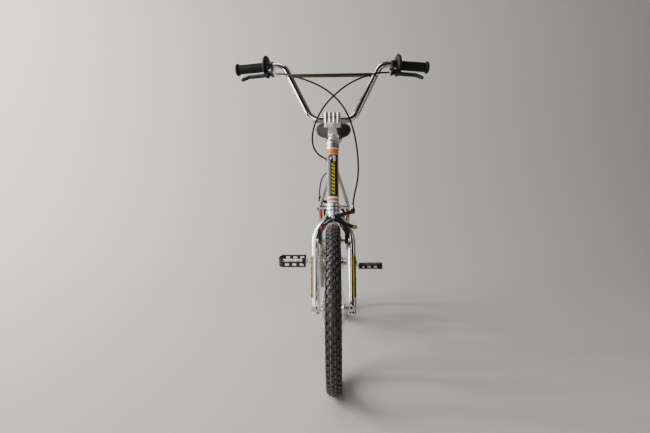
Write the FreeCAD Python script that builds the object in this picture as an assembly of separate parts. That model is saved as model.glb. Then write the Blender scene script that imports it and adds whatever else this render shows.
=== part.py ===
import FreeCAD, Part
import math
import os

os.makedirs("parts", exist_ok=True)

V = FreeCAD.Vector

# Layout of the bicycle. Front is -Y, the rider's left is +X, the ground is z = 0.
WHEEL_RADIUS = 248.0
FRONT_AXLE_Y = -470.0
REAR_AXLE_Y = 470.0
HEAD_ANGLE = math.radians(72.0)
FORK_RAKE = 32.0
BRACKET = V(0.0, 110.0, 288.0)
SEAT_ANGLE = math.radians(71.5)
CRANK_LENGTH = 170.0
CRANK_ANGLE = math.radians(12.6)

# Tubes of the frame and fork.
MAIN_TUBE_R = 14.3
DOWN_TUBE_R = 15.9
HEAD_TUBE_R = 18.3
CHAINSTAY_R = 9.5
SEATSTAY_R = 8.0
FORK_LEG_R = 13.0
FORK_LEG_X = 55.0
TUBE_WALL = 1.4

# Heights along the steering axis, from the foot of the axle's perpendicular.
CROWN_BOTTOM = 266.0
CROWN_TOP = 296.0
HEAD_BOTTOM = 324.0
HEAD_TOP = 501.0
STEERER_TOP = 539.0
BRAKE_BOLT_S = 273.0
STEERER_R = 12.7
QUILL_R = 11.0
BAR_S = 583.0
BAR_FORWARD = 48.0
BAR_R = 11.1

# Wheels.
RIM_INNER_R = 195.0
TYRE_HALF = 23.0
FLANGE_X = 28.5
FLANGE_T = 3.0
FLANGE_R = 24.0
SPOKE_HOLE_R = 20.5
SPOKE_R = 0.95
AXLE_R = 4.75
AXLE_END_R = 4.5
WASHER_T = 1.6
NUT_T = 7.0
FRONT_DROPOUT_X = 48.0
REAR_DROPOUT_X = 55.0
DROPOUT_T = 5.0

# Drive.
CHAIN_LINE = -48.0
CHAIN_PITCH = 12.7
CHAINRING_TEETH = 44
SPROCKET_TEETH = 16
PEDAL_X = 150.0
PEDAL_HALF_LENGTH = 49.0
PEDAL_HALF_DEPTH = 31.0

# Brakes.
BRIDGE_T = 290.0
FRONT_REACH = 70.0
REAR_REACH = 88.0
CABLE_R = 2.4
CABLE_BESIDE = 17.7

RUNNING = 0.05
GAP = 0.3
X_AXIS = V(1, 0, 0)
Y_AXIS = V(0, 1, 0)
Z_AXIS = V(0, 0, 1)

FRONT_AXLE = V(0, FRONT_AXLE_Y, WHEEL_RADIUS)
REAR_AXLE = V(0, REAR_AXLE_Y, WHEEL_RADIUS)
STEER_UP = V(0, math.cos(HEAD_ANGLE), math.sin(HEAD_ANGLE))
STEER_FORWARD = V(0, -math.sin(HEAD_ANGLE), math.cos(HEAD_ANGLE))
STEER_FOOT = FRONT_AXLE - STEER_FORWARD * FORK_RAKE
SEAT_UP = V(0, math.cos(SEAT_ANGLE), math.sin(SEAT_ANGLE))
SEAT_TUBE_LENGTH = 404.0
SEAT_TOP = BRACKET + SEAT_UP * SEAT_TUBE_LENGTH


def steer(x, along, forward=0.0):
    return STEER_FOOT + STEER_UP * along + STEER_FORWARD * forward + V(x, 0, 0)


def place(shape, origin, x_dir, y_dir):
    z_dir = x_dir.cross(y_dir)
    matrix = FreeCAD.Matrix(
        x_dir.x, y_dir.x, z_dir.x, origin.x,
        x_dir.y, y_dir.y, z_dir.y, origin.y,
        x_dir.z, y_dir.z, z_dir.z, origin.z,
        0, 0, 0, 1)
    moved = shape.copy()
    moved.Placement = FreeCAD.Placement(matrix).multiply(moved.Placement)
    return moved


def rod(start, end, radius):
    return Part.makeCylinder(radius, (end - start).Length, start, end - start)


def tube(start, end, outer, inner):
    return rod(start, end, outer).cut(rod(start, end, inner))


def block(low, high):
    size = high - low
    return Part.makeBox(size.x, size.y, size.z, low)


def join(shapes):
    result = shapes[0]
    if len(shapes) > 1:
        result = result.multiFuse(shapes[1:])
    return result.removeSplitter()


def smooth_wire(points, radii):
    edges = []
    last = points[0]
    for i in range(1, len(points) - 1):
        corner = points[i]
        back = (points[i - 1] - corner).normalize()
        ahead = (points[i + 1] - corner).normalize()
        turn = math.pi - back.getAngle(ahead)
        reach = radii[i - 1] * math.tan(turn / 2)
        start = corner + back * reach
        end = corner + ahead * reach
        bisector = (back + ahead).normalize()
        sag = radii[i - 1] / math.cos(turn / 2) - radii[i - 1]
        middle = corner + bisector * sag
        edges.append(Part.LineSegment(last, start).toShape())
        edges.append(Part.Arc(start, middle, end).toShape())
        last = end
    edges.append(Part.LineSegment(last, points[-1]).toShape())
    return Part.Wire(edges)


def sweep(points, radii, radius):
    path = smooth_wire(points, radii)
    direction = (points[1] - points[0]).normalize()
    section = Part.Wire([Part.makeCircle(radius, points[0], direction)])
    return path.makePipeShell([section], True, False)


def swept_tube(points, radii, outer, inner):
    return sweep(points, radii, outer).cut(sweep(points, radii, inner))


def cord_radii(points):
    radii = []
    for i in range(1, len(points) - 1):
        before = points[i] - points[i - 1]
        after = points[i + 1] - points[i]
        shorter = min(before.Length, after.Length)
        radii.append(0.45 * shorter / math.tan(before.getAngle(after) / 2))
    return radii


def spin(profile):
    """Turn a closed outline of (x, radius) pairs about the X axis."""
    points = [V(x, 0, r) for x, r in profile]
    face = Part.Face(Part.makePolygon(points + [points[0]]))
    return face.revolve(V(0, 0, 0), X_AXIS, 360)


def hexagon(centre, axis, length, across_flats):
    radius = across_flats / math.sqrt(3)
    side = X_AXIS if abs(axis.x) < 0.5 else Z_AXIS
    side = (side - axis * side.dot(axis)).normalize()
    other = axis.cross(side)
    points = []
    for i in range(7):
        angle = i * math.pi / 3
        points.append(centre + side * radius * math.cos(angle) + other * radius * math.sin(angle))
    return Part.Face(Part.makePolygon(points)).extrude(axis * length)


def plate(outline, low, high):
    """Extrude an outline of (x, y) pairs between two z levels."""
    points = [V(x, y, low) for x, y in outline]
    return Part.Face(Part.makePolygon(points + [points[0]])).extrude(V(0, 0, high - low))


def strip(points, widths, low, high):
    """A flat bar through (x, y) points with round ends, between two z levels."""
    pieces = []
    for (x, y), width in zip(points, widths):
        pieces.append(Part.makeCylinder(width, high - low, V(x, y, low)))
    for i in range(len(points) - 1):
        a = V(points[i][0], points[i][1], low)
        b = V(points[i + 1][0], points[i + 1][1], low)
        side = Z_AXIS.cross((b - a).normalize())
        corners = [a + side * widths[i], b + side * widths[i + 1]]
        corners += [b - side * widths[i + 1], a - side * widths[i]]
        face = Part.Face(Part.makePolygon(corners + [corners[0]]))
        pieces.append(face.extrude(V(0, 0, high - low)))
    return join(pieces)


def ball_ring(centre, axis, pitch_radius, ball_radius, count):
    side = X_AXIS if abs(axis.x) < 0.5 else Z_AXIS
    side = (side - axis * side.dot(axis)).normalize()
    other = axis.cross(side)
    balls = []
    for i in range(count):
        angle = 2 * math.pi * i / count
        spot = centre + side * pitch_radius * math.cos(angle) + other * pitch_radius * math.sin(angle)
        balls.append(Part.makeSphere(ball_radius, spot))
    return balls


def solids_of(shapes):
    found = []
    for shape in shapes:
        found += shape.Solids
    return found


def save(name, *shapes):
    solids = solids_of(shapes)
    result = solids[0] if len(solids) == 1 else Part.makeCompound(solids)
    if not result.isValid():
        print("not valid:", name)
    result.exportStep("parts/" + name + ".step")
    print(name, len(solids), round(sum(s.Volume for s in solids)))


# ---- Frame tubes ----------------------------------------------------------
head_outer = rod(steer(0, HEAD_BOTTOM), steer(0, HEAD_TOP), HEAD_TUBE_R)
head_tube = head_outer.cut(rod(steer(0, HEAD_BOTTOM), steer(0, HEAD_TOP), 15.2))
save("head_tube", head_tube)

seat_bottom = BRACKET + SEAT_UP * 10
seat_outer = rod(seat_bottom, SEAT_TOP, MAIN_TUBE_R)
SEAT_BORE_R = 12.75
seat_bore = rod(BRACKET, SEAT_TOP + SEAT_UP * 10, SEAT_BORE_R)

shell_outer = rod(BRACKET - X_AXIS * 34, BRACKET + X_AXIS * 34, 20.5)
SHELL_BORE_R = 17.2
shell_bore = rod(BRACKET - X_AXIS * 34, BRACKET + X_AXIS * 34, SHELL_BORE_R)
save("bottom_bracket_shell", shell_outer.cut(shell_bore))

slot = Part.makeBox(3, 30, 28)
slot.translate(V(-1.5, 0, -28))
slot = place(slot, SEAT_TOP + SEAT_UP * 1, X_AXIS, SEAT_UP.cross(X_AXIS))
seat_tube = seat_outer.cut(seat_bore).cut(shell_outer).cut(slot)
save("seat_tube", seat_tube)

top_start = steer(0, 476)
top_end = BRACKET + SEAT_UP * 366
top_tube = tube(top_start, top_end, MAIN_TUBE_R, MAIN_TUBE_R - TUBE_WALL).cut(head_outer)
top_tube = top_tube.cut(seat_outer)
save("top_tube", top_tube)

down_start = steer(0, 346)
down_tube = tube(down_start, BRACKET, DOWN_TUBE_R, DOWN_TUBE_R - TUBE_WALL)
down_tube = down_tube.cut(head_outer).cut(shell_outer).cut(seat_outer)
save("down_tube", down_tube)

REAR_PLATE_MID = REAR_DROPOUT_X + DROPOUT_T / 2
stay_direction = (V(0, 228, 640) - REAR_AXLE).normalize()
bridge_centre = REAR_AXLE + stay_direction * BRIDGE_T


def rear_dropout(side):
    low = side * REAR_DROPOUT_X
    outline = [(402, 242), (402, 262), (426, 268), (424, 318), (441, 318), (478, 268),
               (500, 262), (500, 234), (470, 232)]
    points = [V(low, y, z) for y, z in outline]
    body = Part.Face(Part.makePolygon(points + [points[0]])).extrude(V(side * DROPOUT_T, 0, 0))
    track = block(V(-70, REAR_AXLE_Y - 8, WHEEL_RADIUS - 5), V(70, REAR_AXLE_Y + 40, WHEEL_RADIUS + 5))
    return body.cut(track)


dropouts = [rear_dropout(1), rear_dropout(-1)]
save("rear_dropouts", *dropouts)


def chainstay_line(side):
    return [V(side * 22, 112, 286), V(side * 34, 205, 277), V(side * REAR_PLATE_MID, 428, 252)]


def seatstay_line(side):
    return [V(side * 13, 229, 641), bridge_centre + V(side * REAR_PLATE_MID, 0, 12),
            V(side * REAR_PLATE_MID, 441, 300)]


for side, name in ((1, "left"), (-1, "right")):
    chainstay = swept_tube(chainstay_line(side), [250], CHAINSTAY_R, CHAINSTAY_R - TUBE_WALL)
    chainstay = chainstay.cut(shell_outer).cut(seat_outer)
    chainstay = chainstay.cut(dropouts[0 if side > 0 else 1]).cut(down_tube)
    chainstay = max(chainstay.Solids, key=lambda s: s.Volume)
    save("chainstay_" + name, chainstay)
    seatstay = swept_tube(seatstay_line(side), [160], SEATSTAY_R, SEATSTAY_R - TUBE_WALL)
    seatstay = seatstay.cut(seat_outer).cut(top_tube)
    seatstay = seatstay.cut(dropouts[0 if side > 0 else 1])
    seatstay = max(seatstay.Solids, key=lambda s: s.Volume)
    save("seatstay_" + name, seatstay)

brake_bridge = tube(bridge_centre - X_AXIS * 60, bridge_centre + X_AXIS * 60, 8.0, 5.5)
rear_normal = V(0, stay_direction.z, -stay_direction.y)
bridge_hole = rod(bridge_centre - rear_normal * 30, bridge_centre + rear_normal * 30, 3.0)
low_bridge = tube(V(-40, 194, 279), V(40, 194, 279), 6.0, 4.6)
bridges = []
for bridge in (brake_bridge, low_bridge):
    for side in (1, -1):
        bridge = bridge.cut(sweep(chainstay_line(side), [250], CHAINSTAY_R))
        bridge = bridge.cut(sweep(seatstay_line(side), [160], SEATSTAY_R))
    bridges += [s for s in bridge.cut(bridge_hole).Solids if abs(s.CenterOfMass.x) < 5]
save("frame_bridges", *bridges)

# ---- Headset and bottom bracket bearings ----------------------------------
lower_cup = tube(steer(0, 303), steer(0, HEAD_BOTTOM), 21.0, 19.0)
lower_cup = join([lower_cup, tube(steer(0, 316), steer(0, HEAD_BOTTOM), 21.0, 15.0),
                  tube(steer(0, HEAD_BOTTOM), steer(0, HEAD_BOTTOM + 10), 15.2, 14.0)])
upper_cup = join([tube(steer(0, HEAD_TOP), steer(0, HEAD_TOP + 8), 20.5, 19.0),
                  tube(steer(0, HEAD_TOP), steer(0, HEAD_TOP + 3), 20.5, 14.0),
                  tube(steer(0, HEAD_TOP - 10), steer(0, HEAD_TOP), 15.2, 14.0)])
save("headset_cups", lower_cup, upper_cup)

bb_cups = []
for side in (1, -1):
    outer = BRACKET + X_AXIS * side * 37
    body = join([rod(BRACKET + X_AXIS * side * 22, outer, SHELL_BORE_R),
                 rod(BRACKET + X_AXIS * side * 34, outer, 20.0)])
    body = body.cut(rod(BRACKET + X_AXIS * side * 20, BRACKET + X_AXIS * side * 32, 15.0))
    bb_cups.append(body.cut(rod(BRACKET, outer + X_AXIS * side, 8.6)))
    bb_cups += ball_ring(BRACKET + X_AXIS * side * 28, X_AXIS, 11.7, 3.17, 9)
save("bottom_bracket_bearings", *bb_cups)

# ---- Seat clamp -----------------------------------------------------------
clamp = tube(SEAT_TOP - SEAT_UP * 14, SEAT_TOP + SEAT_UP * 1.0, 18.2, MAIN_TUBE_R)
rear = SEAT_UP.cross(X_AXIS)
lug = Part.makeBox(20, 14, 14)
lug.translate(V(-10, 15, -13.5))
lug = place(lug, SEAT_TOP, X_AXIS, rear)
clamp = join([clamp, lug.cut(rod(SEAT_TOP - SEAT_UP * 20, SEAT_TOP + SEAT_UP * 5, MAIN_TUBE_R))])
lug_gap = Part.makeBox(3, 22, 24)
lug_gap.translate(V(-1.5, 10, -20))
clamp = clamp.cut(place(lug_gap, SEAT_TOP, X_AXIS, rear))
bolt_at = SEAT_TOP + rear * 23 - SEAT_UP * 8
clamp_bolt = join([rod(bolt_at - X_AXIS * 15, bolt_at + X_AXIS * 15, 2.9),
                   hexagon(bolt_at + X_AXIS * 10, X_AXIS, 5, 10),
                   hexagon(bolt_at - X_AXIS * 15, X_AXIS, 5, 10)])
clamp = clamp.cut(rod(bolt_at - X_AXIS * 12, bolt_at + X_AXIS * 12, 2.9))
save("seat_clamp", clamp, clamp_bolt)

# ---- Fork -----------------------------------------------------------------
steerer = tube(steer(0, CROWN_TOP - 4), steer(0, STEERER_TOP), STEERER_R, QUILL_R + RUNNING)
crown = join([rod(steer(0, CROWN_BOTTOM), steer(0, CROWN_TOP), 17.5),
              tube(steer(0, CROWN_TOP - 6), steer(0, CROWN_TOP), 20.0, 12.7)])
crown = crown.cut(rod(steer(0, CROWN_TOP - 4), steer(0, CROWN_TOP), STEERER_R))
crown = crown.cut(rod(steer(0, CROWN_BOTTOM - 2), steer(0, CROWN_TOP), 9.0))
crown = crown.cut(rod(steer(0, BRAKE_BOLT_S, -40), steer(0, BRAKE_BOLT_S, 40), 3.0))
crown_outer = rod(steer(0, CROWN_BOTTOM), steer(0, CROWN_TOP), 17.5)
save("fork_steerer", steerer, crown)


def fork_dropout(side):
    """Axle plate. Local x is forward and local y is up the steering axis."""
    body = join([
        place(Part.makeCylinder(13.0, DROPOUT_T), V(0, 0, 0), X_AXIS, Y_AXIS),
        plate([(-13, 0), (-37, -8), (-37, 34), (-26, 36), (-10, 8.5)], 0, DROPOUT_T),
        plate([(0, -13), (-37, -8), (-37, 10), (0, 13)], 0, DROPOUT_T)])
    body = body.cut(plate([(-5, -20), (5, -20), (5, 0), (-5, 0)], -1, DROPOUT_T + 1))
    body = body.cut(Part.makeCylinder(5.0, 2 * DROPOUT_T, V(0, 0, -1)))
    body = place(body, FRONT_AXLE, STEER_FORWARD, STEER_UP)
    box = body.BoundBox
    body.translate(V(side * (FRONT_DROPOUT_X + DROPOUT_T / 2) - (box.XMin + box.XMax) / 2, 0, 0))
    return body


fork_plates = [fork_dropout(1), fork_dropout(-1)]
save("fork_dropouts", *fork_plates)
for side, name in ((1, "left"), (-1, "right")):
    leg_points = [steer(side * 8, 287), steer(side * FORK_LEG_X, 232), steer(side * FORK_LEG_X, -14)]
    leg = sweep(leg_points, [95], FORK_LEG_R)
    inner = sweep(leg_points, [95], FORK_LEG_R - 1.6)
    leg = leg.cut(inner.cut(rod(steer(side * FORK_LEG_X, -16), steer(side * FORK_LEG_X, -10), FORK_LEG_R)))
    leg = leg.cut(crown_outer).cut(rod(steer(0, 262), steer(0, 320), 20.0))
    leg = leg.cut(fork_plates[0 if side > 0 else 1])
    leg = max(leg.Solids, key=lambda s: s.Volume)
    save("fork_leg_" + name, leg)

crown_race = join([tube(steer(0, CROWN_TOP), steer(0, CROWN_TOP + 4), 20.5, STEERER_R),
                   tube(steer(0, CROWN_TOP), steer(0, CROWN_TOP + 8), 14.5, STEERER_R)])
lower_balls = ball_ring(steer(0, CROWN_TOP + 12), STEER_UP, 16.7, 2.0, 20)
upper_balls = ball_ring(steer(0, HEAD_TOP + 6), STEER_UP, 16.7, 2.0, 20)
top_race = join([tube(steer(0, HEAD_TOP + 9), steer(0, HEAD_TOP + 22), 20.5, STEERER_R),
                 tube(steer(0, HEAD_TOP + 4), steer(0, HEAD_TOP + 10), 14.5, STEERER_R)])
grooves = tube(steer(0, HEAD_TOP + 17), steer(0, HEAD_TOP + 18), 21.0, 19.6)
lock_washer = tube(steer(0, HEAD_TOP + 22), steer(0, HEAD_TOP + 24), 17.0, STEERER_R)
locknut = hexagon(steer(0, HEAD_TOP + 24), STEER_UP, 9, 30)
locknut = join([locknut, rod(steer(0, HEAD_TOP + 33), steer(0, HEAD_TOP + 38), 14.0)])
locknut = locknut.cut(rod(steer(0, HEAD_TOP + 20), steer(0, HEAD_TOP + 40), STEERER_R))
save("headset_races", crown_race, top_race.cut(grooves), lock_washer, locknut, *(lower_balls + upper_balls))

# ---- Stem and handlebar ---------------------------------------------------
bar_axis = steer(0, BAR_S, BAR_FORWARD)
bar_hole = rod(bar_axis - X_AXIS * 40, bar_axis + X_AXIS * 40, BAR_R)
LOBES = (-19.0, -6.4, 6.4, 19.0)
LOBE_R = 6.6
CLAMP_HALF_DEPTH = 17.0


def clamp_half(low, high):
    pieces = []
    for x in LOBES:
        for forward in (-CLAMP_HALF_DEPTH + 1, CLAMP_HALF_DEPTH - 1):
            depth = BAR_FORWARD + forward
            pieces.append(rod(steer(x, low, depth), steer(x, high, depth), LOBE_R))
    core = Part.makeBox(46, high - low, 2 * CLAMP_HALF_DEPTH)
    core.translate(V(-23, low, BAR_FORWARD - CLAMP_HALF_DEPTH))
    pieces.append(place(core, STEER_FOOT, X_AXIS, STEER_UP))
    return join(pieces).cut(bar_hole)


cap = clamp_half(BAR_S + 1.0, BAR_S + 16.5)
base = clamp_half(BAR_S - 17.5, BAR_S - 1.0)
neck = Part.makeBox(25, 26, BAR_FORWARD + 6)
neck.translate(V(-12.5, BAR_S - 43, -6))
neck = place(neck, STEER_FOOT, X_AXIS, STEER_UP)
neck_trim = Part.makeBox(60, 60, 90)
neck_trim.translate(V(-30, -60, 0))
neck_trim.rotate(V(0, 0, 0), X_AXIS, -38)
neck_trim.translate(V(0, BAR_S - 36, 10))
neck = neck.cut(place(neck_trim, STEER_FOOT, X_AXIS, STEER_UP))
quill = rod(steer(0, 430), steer(0, BAR_S - 20), QUILL_R)
collar = rod(steer(0, STEERER_TOP + 4), steer(0, BAR_S - 17.5), 14.6)
stem = join([base, neck, quill, collar])
expander_hole = rod(steer(0, 425), steer(0, BAR_S - 10), 4.1)
head_pocket = rod(steer(0, BAR_S - 24), steer(0, BAR_S + 30), 8.0)
stem = stem.cut(expander_hole).cut(head_pocket).cut(bar_hole)
BOLT_FORWARD = CLAMP_HALF_DEPTH - 1
clamp_bolts = []
for x in (LOBES[0], LOBES[-1]):
    for depth in (BAR_FORWARD - BOLT_FORWARD, BAR_FORWARD + BOLT_FORWARD):
        shank = rod(steer(x, BAR_S - 12, depth), steer(x, BAR_S + 16.5, depth), 3.0)
        head = rod(steer(x, BAR_S + 11.5, depth), steer(x, BAR_S + 17.5, depth), 5.0)
        bolt = join([shank, head])
        key = hexagon(steer(x, BAR_S + 14.5, depth), STEER_UP, 5, 5)
        stem = stem.cut(bolt)
        cap = cap.cut(bolt)
        clamp_bolts.append(bolt.cut(key))
save("stem_body", stem)
save("stem_cap", cap)
save("stem_bolts", *clamp_bolts)
wedge_cut = Part.makeBox(40, 40, 40)
wedge_cut.translate(V(-20, 0, -20))
wedge_cut.rotate(V(0, 0, 0), X_AXIS, 30)
wedge_cut = place(wedge_cut, steer(0, 424), X_AXIS, STEER_UP)
wedge = rod(steer(0, 400), steer(0, 429), QUILL_R).cut(wedge_cut)
expander = join([rod(steer(0, 405), steer(0, BAR_S - 24), 4.0),
                 rod(steer(0, BAR_S - 24), steer(0, BAR_S - 17), 6.5)])
expander = expander.cut(hexagon(steer(0, BAR_S - 20), STEER_UP, 5, 6))
save("stem_expander", wedge.cut(rod(steer(0, 395), steer(0, 435), 4.0)), expander)

BAR_CORNER_X = 65.3
BAR_TOP_X = 154.6
BAR_RISE = 188.0
BAR_END_X = 308.0
SWEEP_BACK = 30.0
END_DROP = 8.0
CROSSBAR_R = 6.35
CROSSBAR_RISE = 151.0


def bar_point(x, rise):
    return steer(x, BAR_S + rise, BAR_FORWARD)


def bar_end(side):
    return bar_point(side * BAR_END_X, BAR_RISE) + V(0, SWEEP_BACK, -END_DROP)


bar_points = []
for side in (-1, 1):
    part_points = [bar_end(side), bar_point(side * BAR_TOP_X, BAR_RISE), bar_point(side * BAR_CORNER_X, 0)]
    bar_points += part_points if side < 0 else part_points[::-1]
bar_radii = [42, 40, 40, 42]
handlebar = swept_tube(bar_points, bar_radii, BAR_R, BAR_R - 1.6)
cross_x = BAR_CORNER_X + (BAR_TOP_X - BAR_CORNER_X) * CROSSBAR_RISE / BAR_RISE
crossbar = rod(bar_point(-cross_x, CROSSBAR_RISE), bar_point(cross_x, CROSSBAR_RISE), CROSSBAR_R)
crossbar = crossbar.cut(sweep(bar_points, bar_radii, BAR_R))
crossbar = max(crossbar.Solids, key=lambda s: s.Volume)
save("handlebar", handlebar, crossbar)

end_left = bar_end(1)
inward = (bar_point(BAR_TOP_X, BAR_RISE) - end_left).normalize()
GRIP_LENGTH = 100.0
FLANGE_GRIP_R = 36.0


def mirrored(shape):
    return shape.mirror(V(0, 0, 0), X_AXIS)


grip_end = end_left - inward * 2.5
flange_centre = end_left + inward * GRIP_LENGTH
grip = join([rod(grip_end, end_left + inward * 5, 19.5),
             rod(end_left, end_left + inward * GRIP_LENGTH, 15.6),
             rod(flange_centre - inward * 4, flange_centre + inward * 4, FLANGE_GRIP_R)])
grip = grip.cut(rod(end_left, end_left + inward * (GRIP_LENGTH + 10), BAR_R))
save("grip_left", grip)
save("grip_right", mirrored(grip))

# ---- Wheels ---------------------------------------------------------------
def wheel_rim():
    return spin([(-14, 209.5), (-12.4, 209.5), (-12.4, 199), (-7, 197), (7, 197), (12.4, 199),
                 (12.4, 209.5), (14, 209.5), (14, 197.5), (8, RIM_INNER_R), (-8, RIM_INNER_R), (-14, 197.5)])


def wheel_tyre():
    outer_mid = WHEEL_RADIUS - TYRE_HALF + 2
    edges = [
        Part.LineSegment(V(-12.2, 0, 200.5), V(-12.2, 0, 209.6)).toShape(),
        Part.LineSegment(V(-12.2, 0, 209.6), V(-14.4, 0, 210.0)).toShape(),
        Part.Arc(V(-14.4, 0, 210.0), V(-TYRE_HALF, 0, outer_mid), V(0, 0, WHEEL_RADIUS)).toShape(),
        Part.Arc(V(0, 0, WHEEL_RADIUS), V(TYRE_HALF, 0, outer_mid), V(14.4, 0, 210.0)).toShape(),
        Part.LineSegment(V(14.4, 0, 210.0), V(12.2, 0, 209.6)).toShape(),
        Part.LineSegment(V(12.2, 0, 209.6), V(12.2, 0, 200.5)).toShape(),
        Part.LineSegment(V(12.2, 0, 200.5), V(9.5, 0, 200.5)).toShape(),
        Part.LineSegment(V(9.5, 0, 200.5), V(9.5, 0, 210.0)).toShape(),
        Part.Arc(V(9.5, 0, 210.0), V(19.0, 0, outer_mid), V(0, 0, 242.5)).toShape(),
        Part.Arc(V(0, 0, 242.5), V(-19.0, 0, outer_mid), V(-9.5, 0, 210.0)).toShape(),
        Part.LineSegment(V(-9.5, 0, 210.0), V(-9.5, 0, 200.5)).toShape(),
        Part.LineSegment(V(-9.5, 0, 200.5), V(-12.2, 0, 200.5)).toShape()]
    face = Part.Face(Part.Wire(edges))
    return face.revolve(V(0, 0, 0), X_AXIS, 360)


def around(x, radius, degrees):
    angle = math.radians(degrees)
    return V(x, radius * math.sin(angle), radius * math.cos(angle))


def wheel_spokes():
    """Thirty-six spokes, laced three-cross, with their nipples."""
    spokes = []
    nipples = []
    for side in (1, -1):
        for k in range(18):
            hub_angle = 20 * k + (0 if side > 0 else 10)
            outer = k % 2 == 0
            rim_angle = hub_angle + (60 if outer else -60)
            head_x = FLANGE_X + FLANGE_T + 2.7 if outer else FLANGE_X - 1.0
            far_x = FLANGE_X - 1.0 if outer else FLANGE_X + FLANGE_T + 1.0
            start = around(side * head_x, SPOKE_HOLE_R, hub_angle)
            end = around(side * (4.6 if outer else 1.6), RIM_INNER_R + 1.5, rim_angle)
            cross = around(side * far_x, SPOKE_HOLE_R, hub_angle)
            direction = (end - start).normalize()
            nipple = rod(end - direction * 13, end, 2.0)
            head = around(side * (FLANGE_X if outer else FLANGE_X + FLANGE_T), SPOKE_HOLE_R, hub_angle)
            spokes.append(join([rod(start, end - direction * 2, SPOKE_R), Part.makeSphere(SPOKE_R, start),
                                rod(start, cross, SPOKE_R), rod(head, cross, 1.7), nipple]))
            nipples.append(rod(end - direction * 14, end + direction * 2, 2.02))
    return spokes, nipples


def wheel_hub(threaded):
    low_x = FLANGE_X + FLANGE_T
    outline = [(-35, 13.0), (-35, 16.5), (-low_x, 17), (-low_x, FLANGE_R), (-FLANGE_X, FLANGE_R),
               (-FLANGE_X, 16), (-22, 12.5), (22, 12.5), (FLANGE_X, 16), (FLANGE_X, FLANGE_R),
               (low_x, FLANGE_R), (low_x, 17), (35, 16.5), (35, 13.0), (27, 13.0), (27, 7.5),
               (-27, 7.5), (-27, 13.0)]
    shell = spin(outline)
    for side in (1, -1):
        for k in range(18):
            hub_angle = 20 * k + (0 if side > 0 else 10)
            hole = rod(around(side * (FLANGE_X - 0.5), SPOKE_HOLE_R, hub_angle),
                       around(side * (low_x + 0.5), SPOKE_HOLE_R, hub_angle), 1.15)
            shell = shell.cut(hole)
    if threaded:
        shell = join([shell, tube(V(-34, 0, 0), V(-50, 0, 0), 16.0, 13.0)])
    balls = ball_ring(V(31, 0, 0), X_AXIS, 10.4, 2.3, 10) + ball_ring(V(-31, 0, 0), X_AXIS, 10.4, 2.3, 10)
    return [shell] + balls


def axle_set(dropout_x, reach):
    """Axle, cones, locknuts, washers and outer nuts."""
    outer = dropout_x + DROPOUT_T
    nut_face = outer + WASHER_T + NUT_T
    pieces = [join([rod(V(-nut_face, 0, 0), V(nut_face, 0, 0), AXLE_R),
                    rod(V(-reach, 0, 0), V(reach, 0, 0), AXLE_END_R)])]
    for side in (1, -1):
        cone = join([tube(V(side * 27.5, 0, 0), V(side * 34, 0, 0), 7.0, AXLE_R),
                     tube(V(side * 32.5, 0, 0), V(side * (dropout_x - 5), 0, 0), 8.0, AXLE_R)])
        pieces.append(cone)
        pieces.append(hexagon(V(side * (dropout_x - 5), 0, 0), X_AXIS * side, 5, 15).cut(
            rod(V(side * 10, 0, 0), V(side * 90, 0, 0), AXLE_R)))
        seat = V(side * (outer + WASHER_T), 0, 0)
        pieces.append(tube(V(side * outer, 0, 0), seat, 9.5, AXLE_R))
        nut = join([hexagon(seat, X_AXIS * side, NUT_T, 15), rod(seat, seat + X_AXIS * side * 0.8, 8.9)])
        pieces.append(nut.cut(rod(V(0, 0, 0), V(side * 90, 0, 0), AXLE_R)))
    return pieces


rim_shape = wheel_rim()
spoke_shapes, nipple_shapes = wheel_spokes()
rim_shape = rim_shape.cut(Part.makeCompound(nipple_shapes))
tyre_shape = wheel_tyre()
for name, axle, threaded in (("front", FRONT_AXLE, False), ("rear", REAR_AXLE, True)):
    save(name + "_rim", place(rim_shape, axle, X_AXIS, Y_AXIS))
    save(name + "_tyre", place(tyre_shape, axle, X_AXIS, Y_AXIS))
    save(name + "_spokes", *[place(s, axle, X_AXIS, Y_AXIS) for s in spoke_shapes])
    save(name + "_hub", *[place(s, axle, X_AXIS, Y_AXIS) for s in wheel_hub(threaded)])
save("front_axle_set", *[place(s, FRONT_AXLE, X_AXIS, Y_AXIS) for s in axle_set(FRONT_DROPOUT_X, 66)])
save("rear_axle_set", *[place(s, REAR_AXLE, X_AXIS, Y_AXIS) for s in axle_set(REAR_DROPOUT_X, 74)])

# ---- Chain and gears ------------------------------------------------------
RING_R = CHAIN_PITCH / (2 * math.sin(math.pi / CHAINRING_TEETH))
SPROCKET_PITCH_R = CHAIN_PITCH / (2 * math.sin(math.pi / SPROCKET_TEETH))
ROLLER_R = 3.85
SEAT_R = 4.1
GEAR_HALF = 1.4


centre_line = REAR_AXLE - BRACKET
span = centre_line.Length
slope = math.atan2(centre_line.z, centre_line.y)
lift = math.acos((RING_R - SPROCKET_PITCH_R) / span)
UPPER_ANGLE = slope + lift
LOWER_ANGLE = slope - lift


def on_circle(centre, radius, angle):
    return V(CHAIN_LINE, centre.y + radius * math.cos(angle), centre.z + radius * math.sin(angle))


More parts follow.
